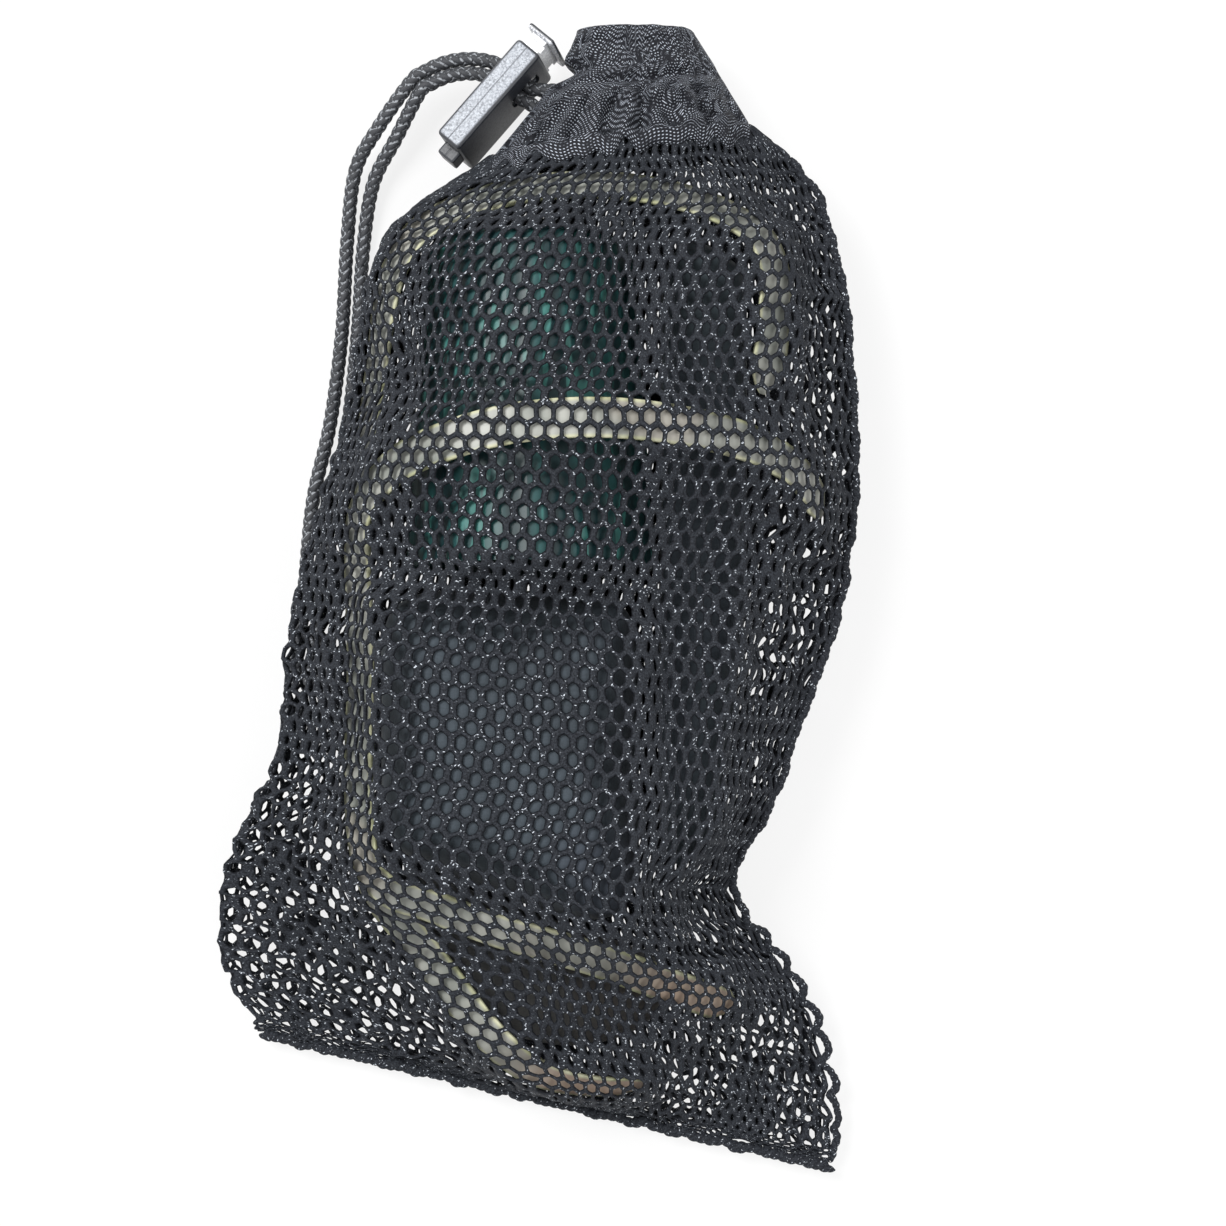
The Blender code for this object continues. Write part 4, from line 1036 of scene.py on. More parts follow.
def on_sheet(column, row, sheet, lift):
    """Where a point of the net lies: lifted off the sheet and swayed a little, and more where it is loose."""
    at = around_net(column, row, sheet)
    waver = (0.16 + 0.42 * loose(at)) * MM
    at = at + around_net(column, row, loop_out) * lift
    sway = ripple(at[..., 1], at[..., 2] + at[..., 0] * 0.6, 21, 7 * MM)
    drift = ripple(at[..., 0], at[..., 1] + at[..., 2] * 1.3, 22, 8 * MM)
    at = at + np.stack([sway * waver, drift * waver, np.zeros_like(sway)], axis=-1)
    at[..., 2] = np.maximum(at[..., 2], 0.08 * MM)
    return at


# %% Sizes of the holes
def middles_of_cells(first, last, sheet, kept):
    """The column and the row of each cell's middle. kept says which places have a cell."""
    rows, columns = np.meshgrid(np.arange(ROWS), np.arange(first, last), indexing="ij")
    rows, columns = rows.ravel(), columns.ravel()
    centre_column, centre_row = columns + 0.5 * (rows % 2), rows + 0.5
    if kept is None:
        return centre_column, centre_row
    stays = kept(around_net(centre_column, centre_row, sheet))
    return centre_column[stays], centre_row[stays]


def hole_sizes(centre_column, centre_row, sheet, openness, chance):
    """How wide and how tall each cell's hole is, as shares of the cell, and how far it leans."""
    cells = len(centre_column)
    centre = around_net(centre_column, centre_row, sheet)
    width = around_net(centre_column, centre_row, column_width) / COLUMN
    wide = np.clip(1 - 0.43 * np.maximum(width, 0.15) ** -0.5, 0.07, 0.8)
    pulled = np.where(centre_column >= FRONT_COLUMNS, 1.35, 1.0) * chance.uniform(0.7, 1.2, cells)
    stretched = np.where(single(centre), pulled, 1.0)
    opened = openness(centre) if callable(openness) else np.full(cells, openness)
    wide = np.clip(wide * opened * stretched * chance.uniform(0.90, 1.08, cells), 0.05, 0.86)
    tall = np.clip(0.70 * chance.uniform(0.93, 1.06, cells) * np.clip(width * 1.6, 0.55, 1), 0.2, 0.8)
    tall = tall * np.clip(0.55 + 0.45 * opened, 0.5, 1.0)
    return wide, tall, chance.uniform(-0.05, 0.05, cells)


# %% Cells as one mesh
def faces_between(outer, inner):
    """The corners of the four-sided faces between two rings of every cell."""
    return np.stack([outer, np.roll(outer, -1, axis=1), np.roll(inner, -1, axis=1), inner], axis=2)


def build_net(name, first, last, sheet, openness=1.0, kept=None):
    """The cells of some columns of a sheet, as one mesh. openness is a number, or gives one for a place."""
    centre_column, centre_row = middles_of_cells(first, last, sheet, kept)
    sizes = hole_sizes(centre_column, centre_row, sheet, openness, np.random.default_rng(first + 11))
    wide, tall, lean = (size[:, None] for size in sizes)
    cells = len(centre_column)
    border_column = centre_column[:, None] + BORDER[None, :, 0] / 4
    border_row = np.clip(centre_row[:, None] + BORDER[None, :, 1] / 6, 0, ROWS)
    keys = np.round(border_column * 4).astype(int) * KEY_STEP + np.round(border_row * 6).astype(int)
    _, first_seen, shared = np.unique(keys, return_index=True, return_inverse=True)
    shared = shared.reshape(cells, 12)
    shared_column, shared_row = border_column.ravel()[first_seen], border_row.ravel()[first_seen]
    hole_column = centre_column[:, None] + HOLE[None, :, 0] * wide + HOLE[None, :, 1] * lean
    hole_row = np.clip(centre_row[:, None] + HOLE[None, :, 1] * tall, 0, ROWS)
    middle_column, middle_row = border_column * 0.5 + hole_column * 0.5, border_row * 0.5 + hole_row * 0.5

    knots = 0.85 + 0.3 * (np.round(shared_row * 6).astype(int) % 2)
    proud, half_way = STRAND_HALF * knots[:, None], STRAND_HALF * 0.72
    blocks = [
        on_sheet(shared_column, shared_row, sheet, proud), on_sheet(shared_column, shared_row, sheet, -proud),
        on_sheet(middle_column, middle_row, sheet, half_way).reshape(-1, 3),
        on_sheet(middle_column, middle_row, sheet, -half_way).reshape(-1, 3),
        on_sheet(hole_column, hole_row, sheet, 0.0).reshape(-1, 3),
    ]
    starts = np.cumsum([0] + [len(block) for block in blocks])
    own = np.arange(cells * 12).reshape(cells, 12)
    top, foot = shared + starts[0], shared + starts[1]
    top_middle, foot_middle, rim = own + starts[2], own + starts[3], own + starts[4]
    cell_size = np.array((COLUMN, ROW))
    flat_border = np.stack([border_column, border_row], axis=-1) * cell_size
    flat_middle = np.stack([middle_column, middle_row], axis=-1) * cell_size
    flat_rim = np.stack([hole_column, hole_row], axis=-1) * cell_size
    rings = (top, top_middle, rim, foot_middle, foot)
    flat_rings = (flat_border, flat_middle, flat_rim, flat_middle, flat_border)
    quads = [faces_between(*pair).reshape(-1, 4) for pair in zip(rings, rings[1:])]
    flats = [faces_between(*pair).reshape(-1, 2) for pair in zip(flat_rings, flat_rings[1:])]
    # strand: 1 on a strand's crest and less towards the hole's rim. The finish paints shade and fleck
    # highlights by it
    strand = [np.full(len(block), value) for block, value in zip(blocks[:4], (1, 1, 0.6, 0.6))]
    strand.append(np.repeat(np.clip(0.75 - wide[:, 0] * 1.8, 0, 0.6), 12))
    numbers = {"strand": np.concatenate(strand)}
    return mesh_from_quads(name, np.vstack(blocks), np.vstack(quads), np.vstack(flats), numbers)


# %% Meshes from arrays
def mesh_from_quads(name, places, quads, flat, numbers):
    """A large mesh straight from arrays, far quicker than a list of faces."""
    mesh = bpy.data.meshes.new(name)
    mesh.vertices.add(len(places))
    set_mesh_points(mesh, places)
    mesh.loops.add(quads.size)
    mesh.loops.foreach_set("vertex_index", quads.astype(np.int32).ravel())
    mesh.polygons.add(len(quads))
    mesh.polygons.foreach_set("loop_start", np.arange(0, quads.size, 4, dtype=np.int32))
    layer = mesh.uv_layers.new(name="cloth")
    layer.data.foreach_set("uv", flat.astype(np.float32).ravel())
    for key, values in numbers.items():
        layer = mesh.attributes.new(key, "FLOAT", "POINT")
        layer.data.foreach_set("value", values.astype(np.float32))
    mesh.update(calc_edges=True)
    mesh.shade_smooth()
    return put_in(name, mesh)


# %% [markdown]
# Knitted nylon is nearly black, with short bright flecks where a loop of shiny yarn turns to the light: two
# to four along each side of a hole. The finish paints these flecks in as highlights: it scatters small dots
# over the flat fabric, stretches them to dashes that slant three ways, and paints them only near the crest of
# a strand. It also paints shade on each strand, darker from its crest down to the rim of its hole, most where
# the hole is wide.


# %% Net finish
net_finish, sums, shader = new_finish("knitted net", Specular_IOR_Level=0.15)
cloth = sums.flat_cloth()
crest = sums.value_of("strand")


def dashes(sums, cloth, turn, scale):
    turned = sums.add(
        "ShaderNodeVectorRotate", {"rotation_type": "Z_AXIS"}, {"Vector": cloth, "Angle": math.radians(turn)}
    )
    stretched = sums.vector("MULTIPLY", turned, (1.0, 0.36, 1.0))
    return 1 - sums.dots(stretched, scale, 0.85).between(0.12, 0.22)


# painted highlights: the bright flecks of yarn that turns to the light
flecks = dashes(sums, cloth, 38.0, 1600.0)
for turn, scale in ((-52.0, 2000.0), (84.0, 1800.0)):
    flecks = flecks.maths("MAXIMUM", flecks, dashes(sums, cloth, turn, scale))
some = sums.grain(cloth, 620.0, 1.0).between(0.38, 0.52)
flecks = flecks * some * crest.between(0.2, 0.7)
loops_of_yarn = sums.grain(cloth, 2400.0, 2.0)
bundled = sums.grain(cloth, 900.0, 1.0).between(0.3, 0.6)
specks = sums.grain(cloth, 3600.0, 1.0, 0.6).between(0.52, 0.66) * bundled
dark = sums.mix(loops_of_yarn.between(0.35, 0.7), (0.008, 0.009, 0.012, 1), (0.030, 0.034, 0.042, 1))
# painted shade: the yarn darkens from the crest of a strand down to the rim of its hole
dark = sums.mix(crest.between(0.0, 0.6) * 0.6 + 0.4, (0.007, 0.008, 0.011, 1), dark)
dark = sums.mix(specks * crest.between(0.1, 0.6), dark, (0.034, 0.039, 0.047, 1))
sums.feed(shader.inputs["Base Color"], sums.mix(flecks * 0.95, dark, (0.66, 0.71, 0.78, 1)))
sums.feed(shader.inputs["Roughness"], 0.7 - flecks * 0.25)
sums.feed(shader.inputs["Normal"], sums.bump(loops_of_yarn + flecks, 0.00022, 0.7))

# %% [markdown]
# The net is open where it is drawn over something, so that what is below shows, and where it lies single.
# Everywhere else it hangs doubled, and its cells open less than half as far. How far down a piece still
# counts is set for each piece, because the tumbler and the bands shine through more air than a dark pad does.

# %% How far the net opens
SHUT = 0.42  # how far a cell opens where the net hangs doubled
FIVE_WAYS = ((0, 0), (1, 0), (-1, 0), (0, 1), (0, -1))
# What lies below, how far down it still counts, how far round it is felt for, and how far cells open over it.
seen_through = [
    (tree_of(*BAND_NODES), 12 * MM, 0.0, 1.3),
    (tree_of("kit_pad_main"), 8 * MM, 1.9 * MM, 1.0),
    (tree_of("kit_cup"), 24 * MM, 1.5 * MM, 1.0),
    (tree_of("kit_pad_side"), 14 * MM, 1.9 * MM, 0.85),
    (tree_of("kit_pad_base"), 14 * MM, 1.9 * MM, 0.8),
]


def shutting(places):
    """How far each cell opens: most over the load, and least where the net hangs doubled."""
    opened = np.full(len(places), SHUT)
    for tree, reach, around, share in seen_through:
        below = np.full(len(places), 1.0)
        for way_x, way_y in FIVE_WAYS if around else FIVE_WAYS[:1]:
            dropped = [drop(tree, x + way_x * around, y + way_y * around) for x, y, _ in places]
            below = np.minimum(below, dropped)
        near = np.clip((reach - (places[:, 2] - below)) / (0.3 * reach), 0, 1)
        opened = np.maximum(opened, SHUT + (share - SHUT) * near)
    return np.maximum(opened, np.where(single(places), 1.0, 0.0))


# %% Build the net in four pieces
UNDER_RIGHT_COLUMNS = 20
NET_PARTS = {
    "net_left": LEFT_COLUMNS, "net_right": RIGHT_COLUMNS,
    "net_under_right": UNDER_RIGHT_COLUMNS, "net_under_left": UNDER_COLUMNS - UNDER_RIGHT_COLUMNS,
}
net_pieces = []
first = 0
for name, columns in NET_PARTS.items():
    openness = shutting if first < FRONT_COLUMNS else 1.0
    piece = build_net(name, first, first + columns, loops, openness)
    first += columns
    piece.data.materials.append(net_finish)
    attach(piece, "bag")
    net_pieces.append(piece)
    print(name, "has", len(piece.data.polygons), "faces")
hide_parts(*NET_NODES)

# %% [markdown]
# It hides the floor nearly everywhere, where the floor under the bag lies in shade. So a second layer of
# spare net
# lies inside the bag, crowded shut: partly the net's own folds, and partly a dark sheet that stands in for
# that shade, which the shining floor doesn't keep. It has no cells where the net is single: there the floor
# shows white through both sides.

TUCK_LIFT, TUCK_DROP = 1.9 * MM, 0.6 * MM
spare = loops.copy()
waves = ripple(spare[..., 0], spare[..., 1], 41, 9 * MM) * 0.35 * MM
spare[..., 2] += np.clip(spare[..., 2] / (4 * MM), 0, 1) * -TUCK_DROP + TUCK_LIFT + waves
# partly spare net, partly a dark layer that stands in for the shade under the bag
tuck_and_shade = build_net("net_tuck_and_shade", FRONT_COLUMNS + 1, COLUMNS - 1, spare, 0.3, lambda places: ~single(places))
tuck_and_shade.data.materials.append(net_finish)
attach(tuck_and_shade, "bag")
print("net_tuck_and_shade has", len(tuck_and_shade.data.polygons), "faces")

# %% [markdown]
# ## Seams
# The foot of the bag is closed by an overlocked seam, which rolls itself into a bumpy rope, and the right
# edge of the net is gathered on a thinner one. Each is a line round which yarn is wound: a tube whose
# surface is raised in slanting ribs and swells a little at each stitch. The foot's line waves from cell to
# cell as the net pulls on it.

# %% Wind a seam
def wind(name, line, diameter, rib, seed):
    """A rope of wound yarn along a line: ribs that slant round it, and a swelling every few millimetres."""
    travelled = travelled_along(line)
    around = np.arange(32) / 32
    slant = around[None, :] * 2 + travelled[:, None] / rib
    ribs = np.abs(np.sin(slant * math.pi))
    swell = ripple(travelled, travelled * 0, seed, 7 * MM)[:, None] * 0.10
    closing = np.sqrt(np.clip(from_ends(travelled) / diameter, 0.03, 1))
    radius = diameter / 2 * (0.78 + 0.22 * ribs + swell) * closing
    # the ribs become the strand number: the net's finish paints shade between them and fleck highlights on
    # their crests
    return tube(name, line, diameter, radius, 0.1 * MM, strand=ribs)


def sideways_of(line):
    """The level way square to a line, to its right, at each of its points."""
    way = unit(np.gradient(line, axis=0))
    return np.stack([way[:, 1], -way[:, 0], np.zeros(len(line))], axis=1)


def waving(line, depth, length, seed):
    """The line, swayed sideways like the edge of a stretched net."""
    travelled = travelled_along(line)
    sway = ripple(travelled, travelled * 0, seed, length)[:, None]
    rise = ripple(travelled, travelled * 0, seed + 1, length * 1.4)[:, None] * np.array((0, 0, 1))
    return line + (sideways_of(line) * sway + rise * 0.6) * depth


# %% Lay the seams
SEAM_STEP, ARC_LENGTH, ARC_DEPTH = 0.2 * MM, 7.5 * MM, 1.7 * MM
foot = loops[0, : FRONT_COLUMNS * 4 + 1]
foot_out = np.array((foot_way[1], -foot_way[0], 0.0))
tip = foot[-1] + np.array((1.4, -1.0, -0.6)) * MM
foot_line = smooth_line(np.vstack([foot[::6], tip]) + foot_out * 0.9 * MM, SEAM_STEP)
foot_seam = wind("foot_seam", waving(foot_line, 0.28 * MM, 5 * MM, 51), 2.5 * MM, 1.9 * MM, 52)
right_edge = loops[::6, FRONT_COLUMNS * 4]
edge_way = np.gradient(right_edge, axis=0)
right_out = unit(np.stack([edge_way[:, 1], -edge_way[:, 0]], axis=1))
right_out = np.hstack([right_out, np.zeros((len(right_edge), 1))])
right_line = smooth_line(right_edge + right_out * 0.5 * MM, SEAM_STEP)
foot_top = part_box("net_body")[0].y
from_tip = right_line[:, 1] - right_line[:, 1].min()
flare = np.clip(np.minimum(from_tip, foot_top - right_line[:, 1]) / (8 * MM), 0, 1)
arcs = np.abs(np.sin(np.arange(len(right_line)) * SEAM_STEP * math.pi / ARC_LENGTH)) * flare * ARC_DEPTH
right_line = right_line + sideways_of(right_line) * arcs[:, None]
right_seam = wind("right_seam", waving(right_line, 0.35 * MM, 6 * MM, 61), 1.9 * MM, 1.5 * MM, 62)
for seam, node in ((foot_seam, "bottom_seam"), (right_seam, "side_seam")):
    seam.data.materials.append(net_finish)
    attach(seam, "bag")
    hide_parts(node)
    print(seam.name, "has", len(seam.data.polygons), "faces")

# %% [markdown]
# ## Mouth
# The casing and the hem are one piece of closer cloth, sewn to the net and drawn together by the cord. The
# drawing-in throws it in pleats that fan out from the cord to the net, with a ridge over the cord itself, a
# crease above it and a rolled lip at the rim. Cloth like that is easier to describe by its folds than to
# simulate, because each fold is a line on the bag: a ridge or a crease with a width, a height and a steeper
# side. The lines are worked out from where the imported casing, hem and cord lie.

# %% Folds drawn as lines
def beside(line, x, y):
    """Distance in plan from each point to a line, and which side of it the point is on."""
    nearest = np.full(x.shape, 1e9)
    side = np.zeros(x.shape)
    for (ax, ay), (bx, by) in zip(line[:-1], line[1:]):
        way_x, way_y = bx - ax, by - ay
        share = np.clip(((x - ax) * way_x + (y - ay) * way_y) / (way_x**2 + way_y**2), 0, 1)
        apart_x, apart_y = x - ax - share * way_x, y - ay - share * way_y
        apart = np.hypot(apart_x, apart_y)
        closer = apart < nearest
        nearest = np.where(closer, apart, nearest)
        side = np.where(closer, np.sign(way_x * apart_y - way_y * apart_x), side)
    return nearest, side


def folded(x, y, folds):
    """The height that the folds add: a ridge where it is positive, a crease where it is negative."""
    total = np.zeros(x.shape)
    for line, high, wide, steep in folds:
        line = smooth_line(np.array(line), 0.8 * MM)
        apart, side = beside(line, x, y)
        reach = wide * np.where(side > 0, 1.0, 1.0 / steep) * MM
        total += high * MM * np.exp(-((apart / reach) ** 2))
    return total


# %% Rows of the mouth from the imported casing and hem
MOUTH_WIDTH, MOUTH_HEIGHT, MOUTH_ROWS = 20 * MM, 8 * MM, 10
RIM_ROLL = 1.2 * MM  # the lip rolls over this far beyond the last row
openings = {opening["name"]: opening for opening in frame["record"]["physics"]["openings"]}
mouth_x, _, mouth_z = np.mean(openings["mouth"]["box_m"], axis=0)
mouth_edges = edges_of("casing", "hem")
mouth_points = mouth_edges.reshape(-1, 3)
mouth_tree = tree_of("casing", "hem")
sewn_left, sewn_right = mouth_points[mouth_points[:, 0].argmin()], mouth_points[mouth_points[:, 0].argmax()]
rim_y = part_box("hem")[1].y - RIM_ROLL


def mouth_row(share):
    """Left x and y, right x and y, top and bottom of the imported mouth, some way from the net to the rim."""
    left_at = sewn_left[1] * (1 - share) + rim_y * share
    right_at = sewn_right[1] * (1 - share) + rim_y * share
    left_x, right_x = side_of(mouth_edges, left_at, np.min), side_of(mouth_edges, right_at, np.max)
    middle_x, middle_y = (left_x + right_x) / 2, (left_at + right_at) / 2
    near = [middle_y + step * MM for step in (-0.8, 0, 0.8)]
    top = max(drop(mouth_tree, middle_x, y_at) for y_at in near)
    bottom = min(drop(mouth_tree, middle_x, y_at, 1.0, 1.0) for y_at in near)
    return left_x, left_at, right_x, right_at, top, min(bottom, top)


rows_of_mouth = np.array([mouth_row(share) for share in np.linspace(0, 1, MOUTH_ROWS)])
print("mouth's widths, mm:", ((rows_of_mouth[:, 2] - rows_of_mouth[:, 0]) / MM).round(1).tolist())

# %% Folds of the mouth
PLEATS = 15
cord_low, cord_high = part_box("drawcord_loop")


def on_mouth(up_share, across_share):
    """A place in plan, by its share of the way up the mouth and across it."""
    row = [np.interp(up_share, np.linspace(0, 1, MOUTH_ROWS), column) for column in rows_of_mouth.T]
    return np.array((row[0] + (row[2] - row[0]) * across_share, row[1] + (row[3] - row[1]) * across_share))


row_middles = (rows_of_mouth[:, 1] + rows_of_mouth[:, 3]) / 2
cord_up = float(np.interp((cord_low.y + cord_high.y) / 2, row_middles, np.linspace(0, 1, MOUTH_ROWS)))
chance = np.random.default_rng(81)
folds = []
for number in range(PLEATS):
    foot_share = (number + 0.5) / PLEATS
    top_share = foot_share + chance.uniform(-0.3, 0.3) / PLEATS
    bend = chance.uniform(-0.5, 0.5) / PLEATS
    half_way = on_mouth(cord_up / 2, (foot_share + top_share) / 2 + bend)
    line = [on_mouth(cord_up, top_share), half_way, on_mouth(0, foot_share)]
    way = 1 if number % 2 else -1
    folds.append((line, way * chance.uniform(1.0, 2.4), chance.uniform(0.9, 1.7), chance.uniform(1.0, 1.7)))
for up_share, high, wide in ((cord_up, 1.0, 1.8), (cord_up + 0.16, -2.0, 1.4), (0.93, 1.3, 1.5)):
    shares = np.linspace(0.04, 0.96, 6)
    line = [on_mouth(up_share + 0.02 * math.sin(9 * share), share) for share in shares]
    folds.append((line, high, wide, 1.4))
print("folds:", len(folds))

# %% Shape the mouth
FRONT_STEPS, BACK_STEPS = 190, 90
outline = smooth_line(rows_of_mouth, 0.25 * MM)
across_front = np.linspace(0, 1, FRONT_STEPS)
arch_front = np.sqrt(np.clip(1 - (2 * across_front - 1) ** 2, 0, 1))
across_back = np.linspace(1, 0, BACK_STEPS + 2)[1:-1]
arch_back = np.sqrt(1 - (2 * across_back - 1) ** 2)


def mouth_ring(row):
    """One ring of the drawn mouth: the front from left to right, then the back."""
    ends = np.array((row[:2], row[2:4]))
    middle, half = (row[4] + row[5]) / 2, (row[4] - row[5]) / 2
    rings = []
    for share, arched, way in ((across_front, arch_front, 1), (across_back, arch_back, -1)):
        flat_place = ends[0] * (1 - share[:, None]) + ends[1] * share[:, None]
        rings.append(np.hstack([flat_place, (middle + way * half * arched**0.8)[:, None]]))
    return np.vstack(rings)


collar = np.array([mouth_ring(row) for row in outline])
x, y = collar[..., 0], collar[..., 1]
from_edge = np.concatenate([np.minimum(across_front, 1 - across_front), across_back * 0])
edge_fade = np.clip(from_edge / 0.04, 0, 1)
small = ripple(x, y * 0.7, 71, 5 * MM) * 0.35 + ripple(x * 1.2, y, 72, 2.6 * MM) * 0.16
rightwards = np.clip((x - mouth_low.x) / (mouth_high.x - mouth_low.x) * 3 - 1.5, 0, 1)
crumple = ripple(x * 0.9, y, 73, 4.5 * MM) * rightwards * np.clip((mouth_high.y - y) / (8 * MM), 0, 1)
collar[..., 2] += (folded(x, y, folds) + (small + crumple * 0.9) * MM) * edge_fade
back_pleats = np.cos(np.linspace(0, 2 * math.pi * 9, BACK_STEPS))
collar[:, FRONT_STEPS:, 2] += back_pleats * arch_back * 0.9 * MM
cord_tree = tree_of("drawcord_loop")
for ring in collar:
    for at in range(FRONT_STEPS):
        ring[at, 2] = max(ring[at, 2], drop(cord_tree, ring[at, 0], ring[at, 1]) + 0.7 * MM)
collar[..., 2] = np.maximum(collar[..., 2], 0.4 * MM)

# %% Turn the hem in and tuck the cloth over the net
TURN_STEPS, EASING_STEPS = 21, 11
last_ring = collar[-1]
turn_in = []
wave = 1 + 0.10 * np.cos(np.linspace(0, 2 * math.pi * 7, last_ring.shape[0], endpoint=False))
angle = np.arctan2(last_ring[:, 2] - mouth_z, last_ring[:, 0] - mouth_x)
narrow_x = mouth_x + np.cos(angle) * MOUTH_WIDTH / 2 * wave
narrow_z = mouth_z + np.sin(angle) * MOUTH_HEIGHT / 2 * wave
for step in range(1, TURN_STEPS + 1):
    share = min(1.0, step / EASING_STEPS)
    bulge = math.sin(share * math.pi) * 0.8 * MM - max(0, step - EASING_STEPS) * 1.2 * MM
    easing = (1 - math.cos(share * math.pi)) / 2
    ring = last_ring.copy()
    ring[:, 0] = last_ring[:, 0] * (1 - easing) + narrow_x * easing
    ring[:, 2] = last_ring[:, 2] * (1 - easing) + narrow_z * easing
    ring[:, 1] = last_ring[:, 1] + bulge
    turn_in.append(ring)
start = collar[0]
front_faces = [
    (row * ACROSS + at, row * ACROSS + at + 1, (row + 1) * ACROSS + at + 1, (row + 1) * ACROSS + at)
    for row in range(ALONG - 1) for at in range(ACROSS - 1)
]
front_tree = BVHTree.FromPolygons([Vector(place) for place in front.reshape(-1, 3)], front_faces)
overlap = []
for back_by, lift in ((4.6, -0.3), (4.3, 0.9), (3.2, 1.1), (2.2, 1.1), (1.1, 1.1)):
    ring = start.copy()
    ring[:, 1] -= back_by * (1 + 0.28 * ripple(ring[:, 0], ring[:, 0] * 0, 75, 6 * MM)) * MM
    for place in ring[:FRONT_STEPS]:
        place[2] = max(drop(front_tree, place[0], place[1], missed=place[2]), place[2] - 2 * MM) + lift * MM
    ring[:, 2] = np.maximum(ring[:, 2], 0.3 * MM)
    overlap.append(ring)
collar = np.concatenate([np.array(overlap), collar, np.array(turn_in)])
steps_around = np.linalg.norm(np.diff(collar, axis=1, append=collar[:, :1]), axis=2)
flat_u = np.hstack([np.zeros((len(collar), 1)), np.cumsum(steps_around, axis=1)])
flat_u = flat_u - flat_u[:, FRONT_STEPS // 2 : FRONT_STEPS // 2 + 1]
flat_v = np.cumsum(np.linalg.norm(np.diff(collar, axis=0, prepend=collar[:1]), axis=2), axis=0)
flat = np.stack([flat_u, np.hstack([flat_v, flat_v[:, :1]])], axis=-1)
mouth = skin("mouth", collar, wrap=True, flat=flat)
print("mouth has", len(mouth.data.polygons), "faces")

# %% [markdown]
# The closer cloth is knitted too, with its stitches 0.87 mm apart in staggered rows. The crown of each stitch
# catches the light, painted in as a pale highlight dot on near-black. Dots set out by rule look printed, so
# their size and brightness drift, and in places whole patches of them turn away from the light, painted
# dimmer.

# %% Mouth finish
STITCH = 0.87 * MM
mouth_finish, sums, shader = new_finish("close knit", Roughness=0.7, Specular_IOR_Level=0.2)
cloth = sums.flat_cloth()
sway = sums.grain(cloth, 70.0, 1.0)
drifting = sums.add("ShaderNodeCombineXYZ", None, {0: sway * 0.0004, 1: sway * -0.0005})
along_u, along_v, _ = sums.parts(sums.vector("ADD", cloth, drifting))
column, line = along_u / STITCH, along_v / (STITCH * 0.86)
row = line.maths("FLOOR", line)
stagger = column + row.maths("MODULO", row, 2.0) * 0.5
across = stagger.maths("FRACT", stagger) - 0.5
upward = line.maths("FRACT", line) - 0.5
round_dot = across * across * 0.8 + upward * upward * 1.6
dot = 1 - round_dot.between(0.02, 0.075)
# painted shade: patches where the stitches' highlights are dimmer
drift = sums.grain(cloth, 300.0, 2.0).between(0.28, 0.56)
fine = sums.grain(cloth, 4200.0, 1.0)
stitch_highlight = dot * drift * (0.55 + fine * 0.9)
ground = sums.mix(fine.between(0.3, 0.7), (0.004, 0.0045, 0.007, 1), (0.015, 0.016, 0.021, 1))
sums.feed(shader.inputs["Base Color"], sums.mix(stitch_highlight * 0.9, ground, (0.58, 0.63, 0.72, 1)))
sums.feed(shader.inputs["Normal"], sums.bump(dot + fine * 0.4, 0.00018, 0.7))
mouth.data.materials.append(mouth_finish)
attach(mouth, "bag")
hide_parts("casing", "hem")
dress("drawcord_loop", cord_finish)
print("stitches round the mouth:", round(float(flat_u.max() - flat_u.min()) / STITCH))

# %% [markdown]
# ## Cord lock
# The lock's body and its plunger keep their imported shapes. The body is moulded in grey plastic with a satin
# grain on the narrow face that looks up, where a faint parting line runs along its middle. That face is
# painted light silver, as it is lit, and its edges and broad sides are smoother and painted darker, as shade.
# The finish tells the faces apart by the way they look, and finds its edges from how far the imported parts
# reach along the lock and across it.

# %% Where a point lies on the lock
LOCK_LENGTH = 27.0 * MM


def reach_of(node, way, start):
    """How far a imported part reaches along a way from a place."""
    return float(((mesh_points(frame["nodes"][node].data) - start) @ way).max())


lock_end = reach_of("lock_body", along_lock, slide_centre)
lock_middle = slide_centre + along_lock * (lock_end - LOCK_LENGTH / 2)
lock_half_depth = reach_of("lock_body", bore_way, lock_middle)
plunger_end = reach_of("plunger", along_lock, lock_middle)
print("plunger stands out by, mm:", round((plunger_end - LOCK_LENGTH / 2) / MM, 1))


def on_lock(sums):
    """How far along the lock and across its narrow face a point lies, in metres."""
    apart = sums.vector("SUBTRACT", sums.place(), tuple(lock_middle.tolist()))
    ways = (along_lock, bore_way)
    return [sums.vector("DOT_PRODUCT", apart, tuple(way.tolist()), output="Value") for way in ways]


def facing(sums, way):
    """How squarely the surface looks along a way."""
    return sums.vector("DOT_PRODUCT", sums.place("Normal"), tuple(way.tolist()), output="Value")


# %% Lock finish
lock_finish, sums, shader = new_finish("grained lock", Roughness=0.42, Specular_IOR_Level=0.5)
length_at, across_at = on_lock(sums)
topside = facing(sums, slide_axis).between(0.90, 0.97)
grains = sums.grain(sums.place(), 2100.0, 3.0, 0.7)
broad = sums.grain(sums.place(), 240.0, 2.0)
# painted light: the face that looks up is painted light silver, as it is lit
painted_lit_top = sums.mix(grains.between(0.32, 0.68), (0.13, 0.14, 0.16, 1), (0.45, 0.48, 0.53, 1))
painted_lit_top = sums.mix(broad.between(0.3, 0.7) * 0.35, painted_lit_top, (0.30, 0.32, 0.36, 1))
from_middle = across_at.maths("ABSOLUTE", across_at)
edge_near = from_middle.between(lock_half_depth - 0.85 * MM, lock_half_depth - 0.45 * MM)
wandering = across_at + sums.grain(sums.place(), 90.0, 1.0) * 0.0003
parting = 1 - across_at.maths("ABSOLUTE", wandering).between(0.05 * MM, 0.2 * MM)
painted_lit_top = sums.mix(parting * 0.7, painted_lit_top, (0.07, 0.075, 0.085, 1))
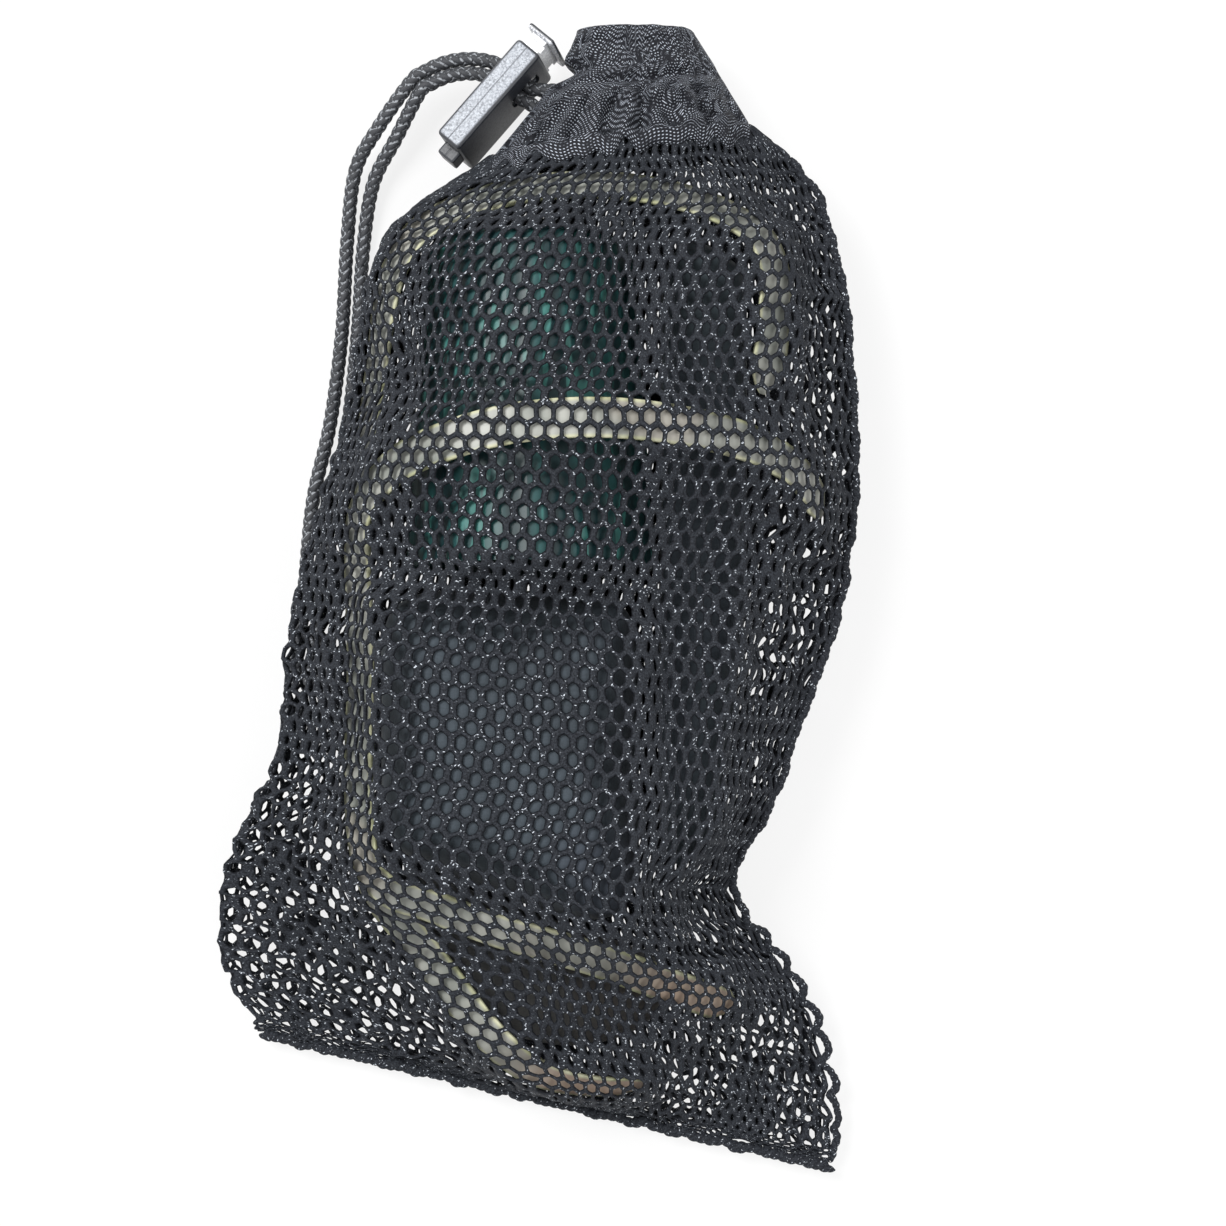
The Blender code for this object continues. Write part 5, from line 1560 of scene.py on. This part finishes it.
# painted shade: the broad sides, the bevels and the edges are painted dark
shaded_side = sums.mix(grains.between(0.3, 0.7), (0.014, 0.016, 0.021, 1), (0.036, 0.039, 0.048, 1))
shaded_bevel = sums.mix(facing(sums, slide_axis).between(0.25, 0.8), shaded_side, (0.034, 0.037, 0.044, 1))
from_centre, half_length = length_at.maths("ABSOLUTE", length_at), LOCK_LENGTH / 2
end_near = from_centre.between(half_length - 0.75 * MM, half_length - 0.5 * MM)
whole = sums.mix(topside * (1 - edge_near) * (1 - end_near), shaded_bevel, painted_lit_top)
sums.feed(shader.inputs["Base Color"], whole)
sums.feed(shader.inputs["Roughness"], 0.5 - grains * 0.2)
sums.feed(shader.inputs["Normal"], sums.bump(grains * (0.3 + topside) - parting, 0.00008, 0.7))
dress("lock_body", lock_finish)
print("lock finished:", lock_finish.name)

# %% [markdown]
# The plunger is clear plastic that looks white where its neck is seen against the light: that light is
# painted into its colour. Its end plate is speckled and dark at the rim.

# %% Plunger finish
plunger_finish, sums, shader = new_finish("clear plunger", Roughness=0.25, Specular_IOR_Level=0.5)
length_at, _ = on_lock(sums)
speckle = sums.grain(sums.place(), 1900.0, 2.0)
# painted light: the clear neck painted white, as seen against the light
pale = sums.mix(speckle.between(0.4, 0.62), (0.70, 0.71, 0.73, 1), (0.93, 0.94, 0.95, 1))
rim = length_at.between(plunger_end - 0.75 * MM, plunger_end - 0.6 * MM)
plate = length_at.between(plunger_end - 1.4 * MM, plunger_end - 1.3 * MM)
speckled = sums.mix(speckle.between(0.35, 0.6), (0.22, 0.23, 0.26, 1), (0.62, 0.63, 0.66, 1))
shown = sums.mix(plate, pale, speckled)
sums.feed(shader.inputs["Base Color"], sums.mix(rim, shown, (0.035, 0.038, 0.045, 1)))
sums.feed(shader.inputs["Normal"], sums.bump(speckle, 0.00006, 0.5))
dress("plunger", plunger_finish)
print("plunger finished:", plunger_finish.name)

# %% [markdown]
# The spring shortens as the plunger goes in, which a rigid part can't do. So its coil is a piece of its own
# with the same shape, in bright steel.

# %% Coil of the spring
spring_finish, sums, shader = new_finish("spring steel", Metallic=1.0, Roughness=0.3)
drawn = sums.grain(sums.place(), 3000.0, 2.0)
sums.feed(shader.inputs["Base Color"], sums.mix(drawn, (0.42, 0.42, 0.43, 1), (0.62, 0.62, 0.63, 1)))
packed_spring = frame["nodes"]["spring"]
coil = put_in("spring_coil", packed_spring.data.copy())
coil.matrix_world = packed_spring.matrix_world
coil.data.materials.clear()
coil.data.materials.append(spring_finish)
seated_end = Vector(press["deforming_nodes"][0]["fixed_end_m"])
press_way = Vector(press["axis"])
along_press = [(coil.matrix_world @ point.co - seated_end).dot(press_way) for point in coil.data.vertices]
coil_length = max(along_press) - min(along_press)
press_travel = press["range_m"][1] - press["range_m"][0]
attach(coil, "cord_lock")
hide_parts("spring")
1 - press_travel / coil_length
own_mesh(coil)
print("coil, mm:", round(coil_length / MM, 2), "of which the plunger takes", round(press_travel / MM, 2))

# %% [markdown]
# ## Sheets
# The size of the flat cloth that the net was made from is printed. The net's holes are real.

print("flat net, mm:", round(COLUMNS * COLUMN / MM, 1), "x", round(ROWS * ROW / MM, 1))
for piece in net_pieces:
    over = piece.name in ("net_left", "net_right")
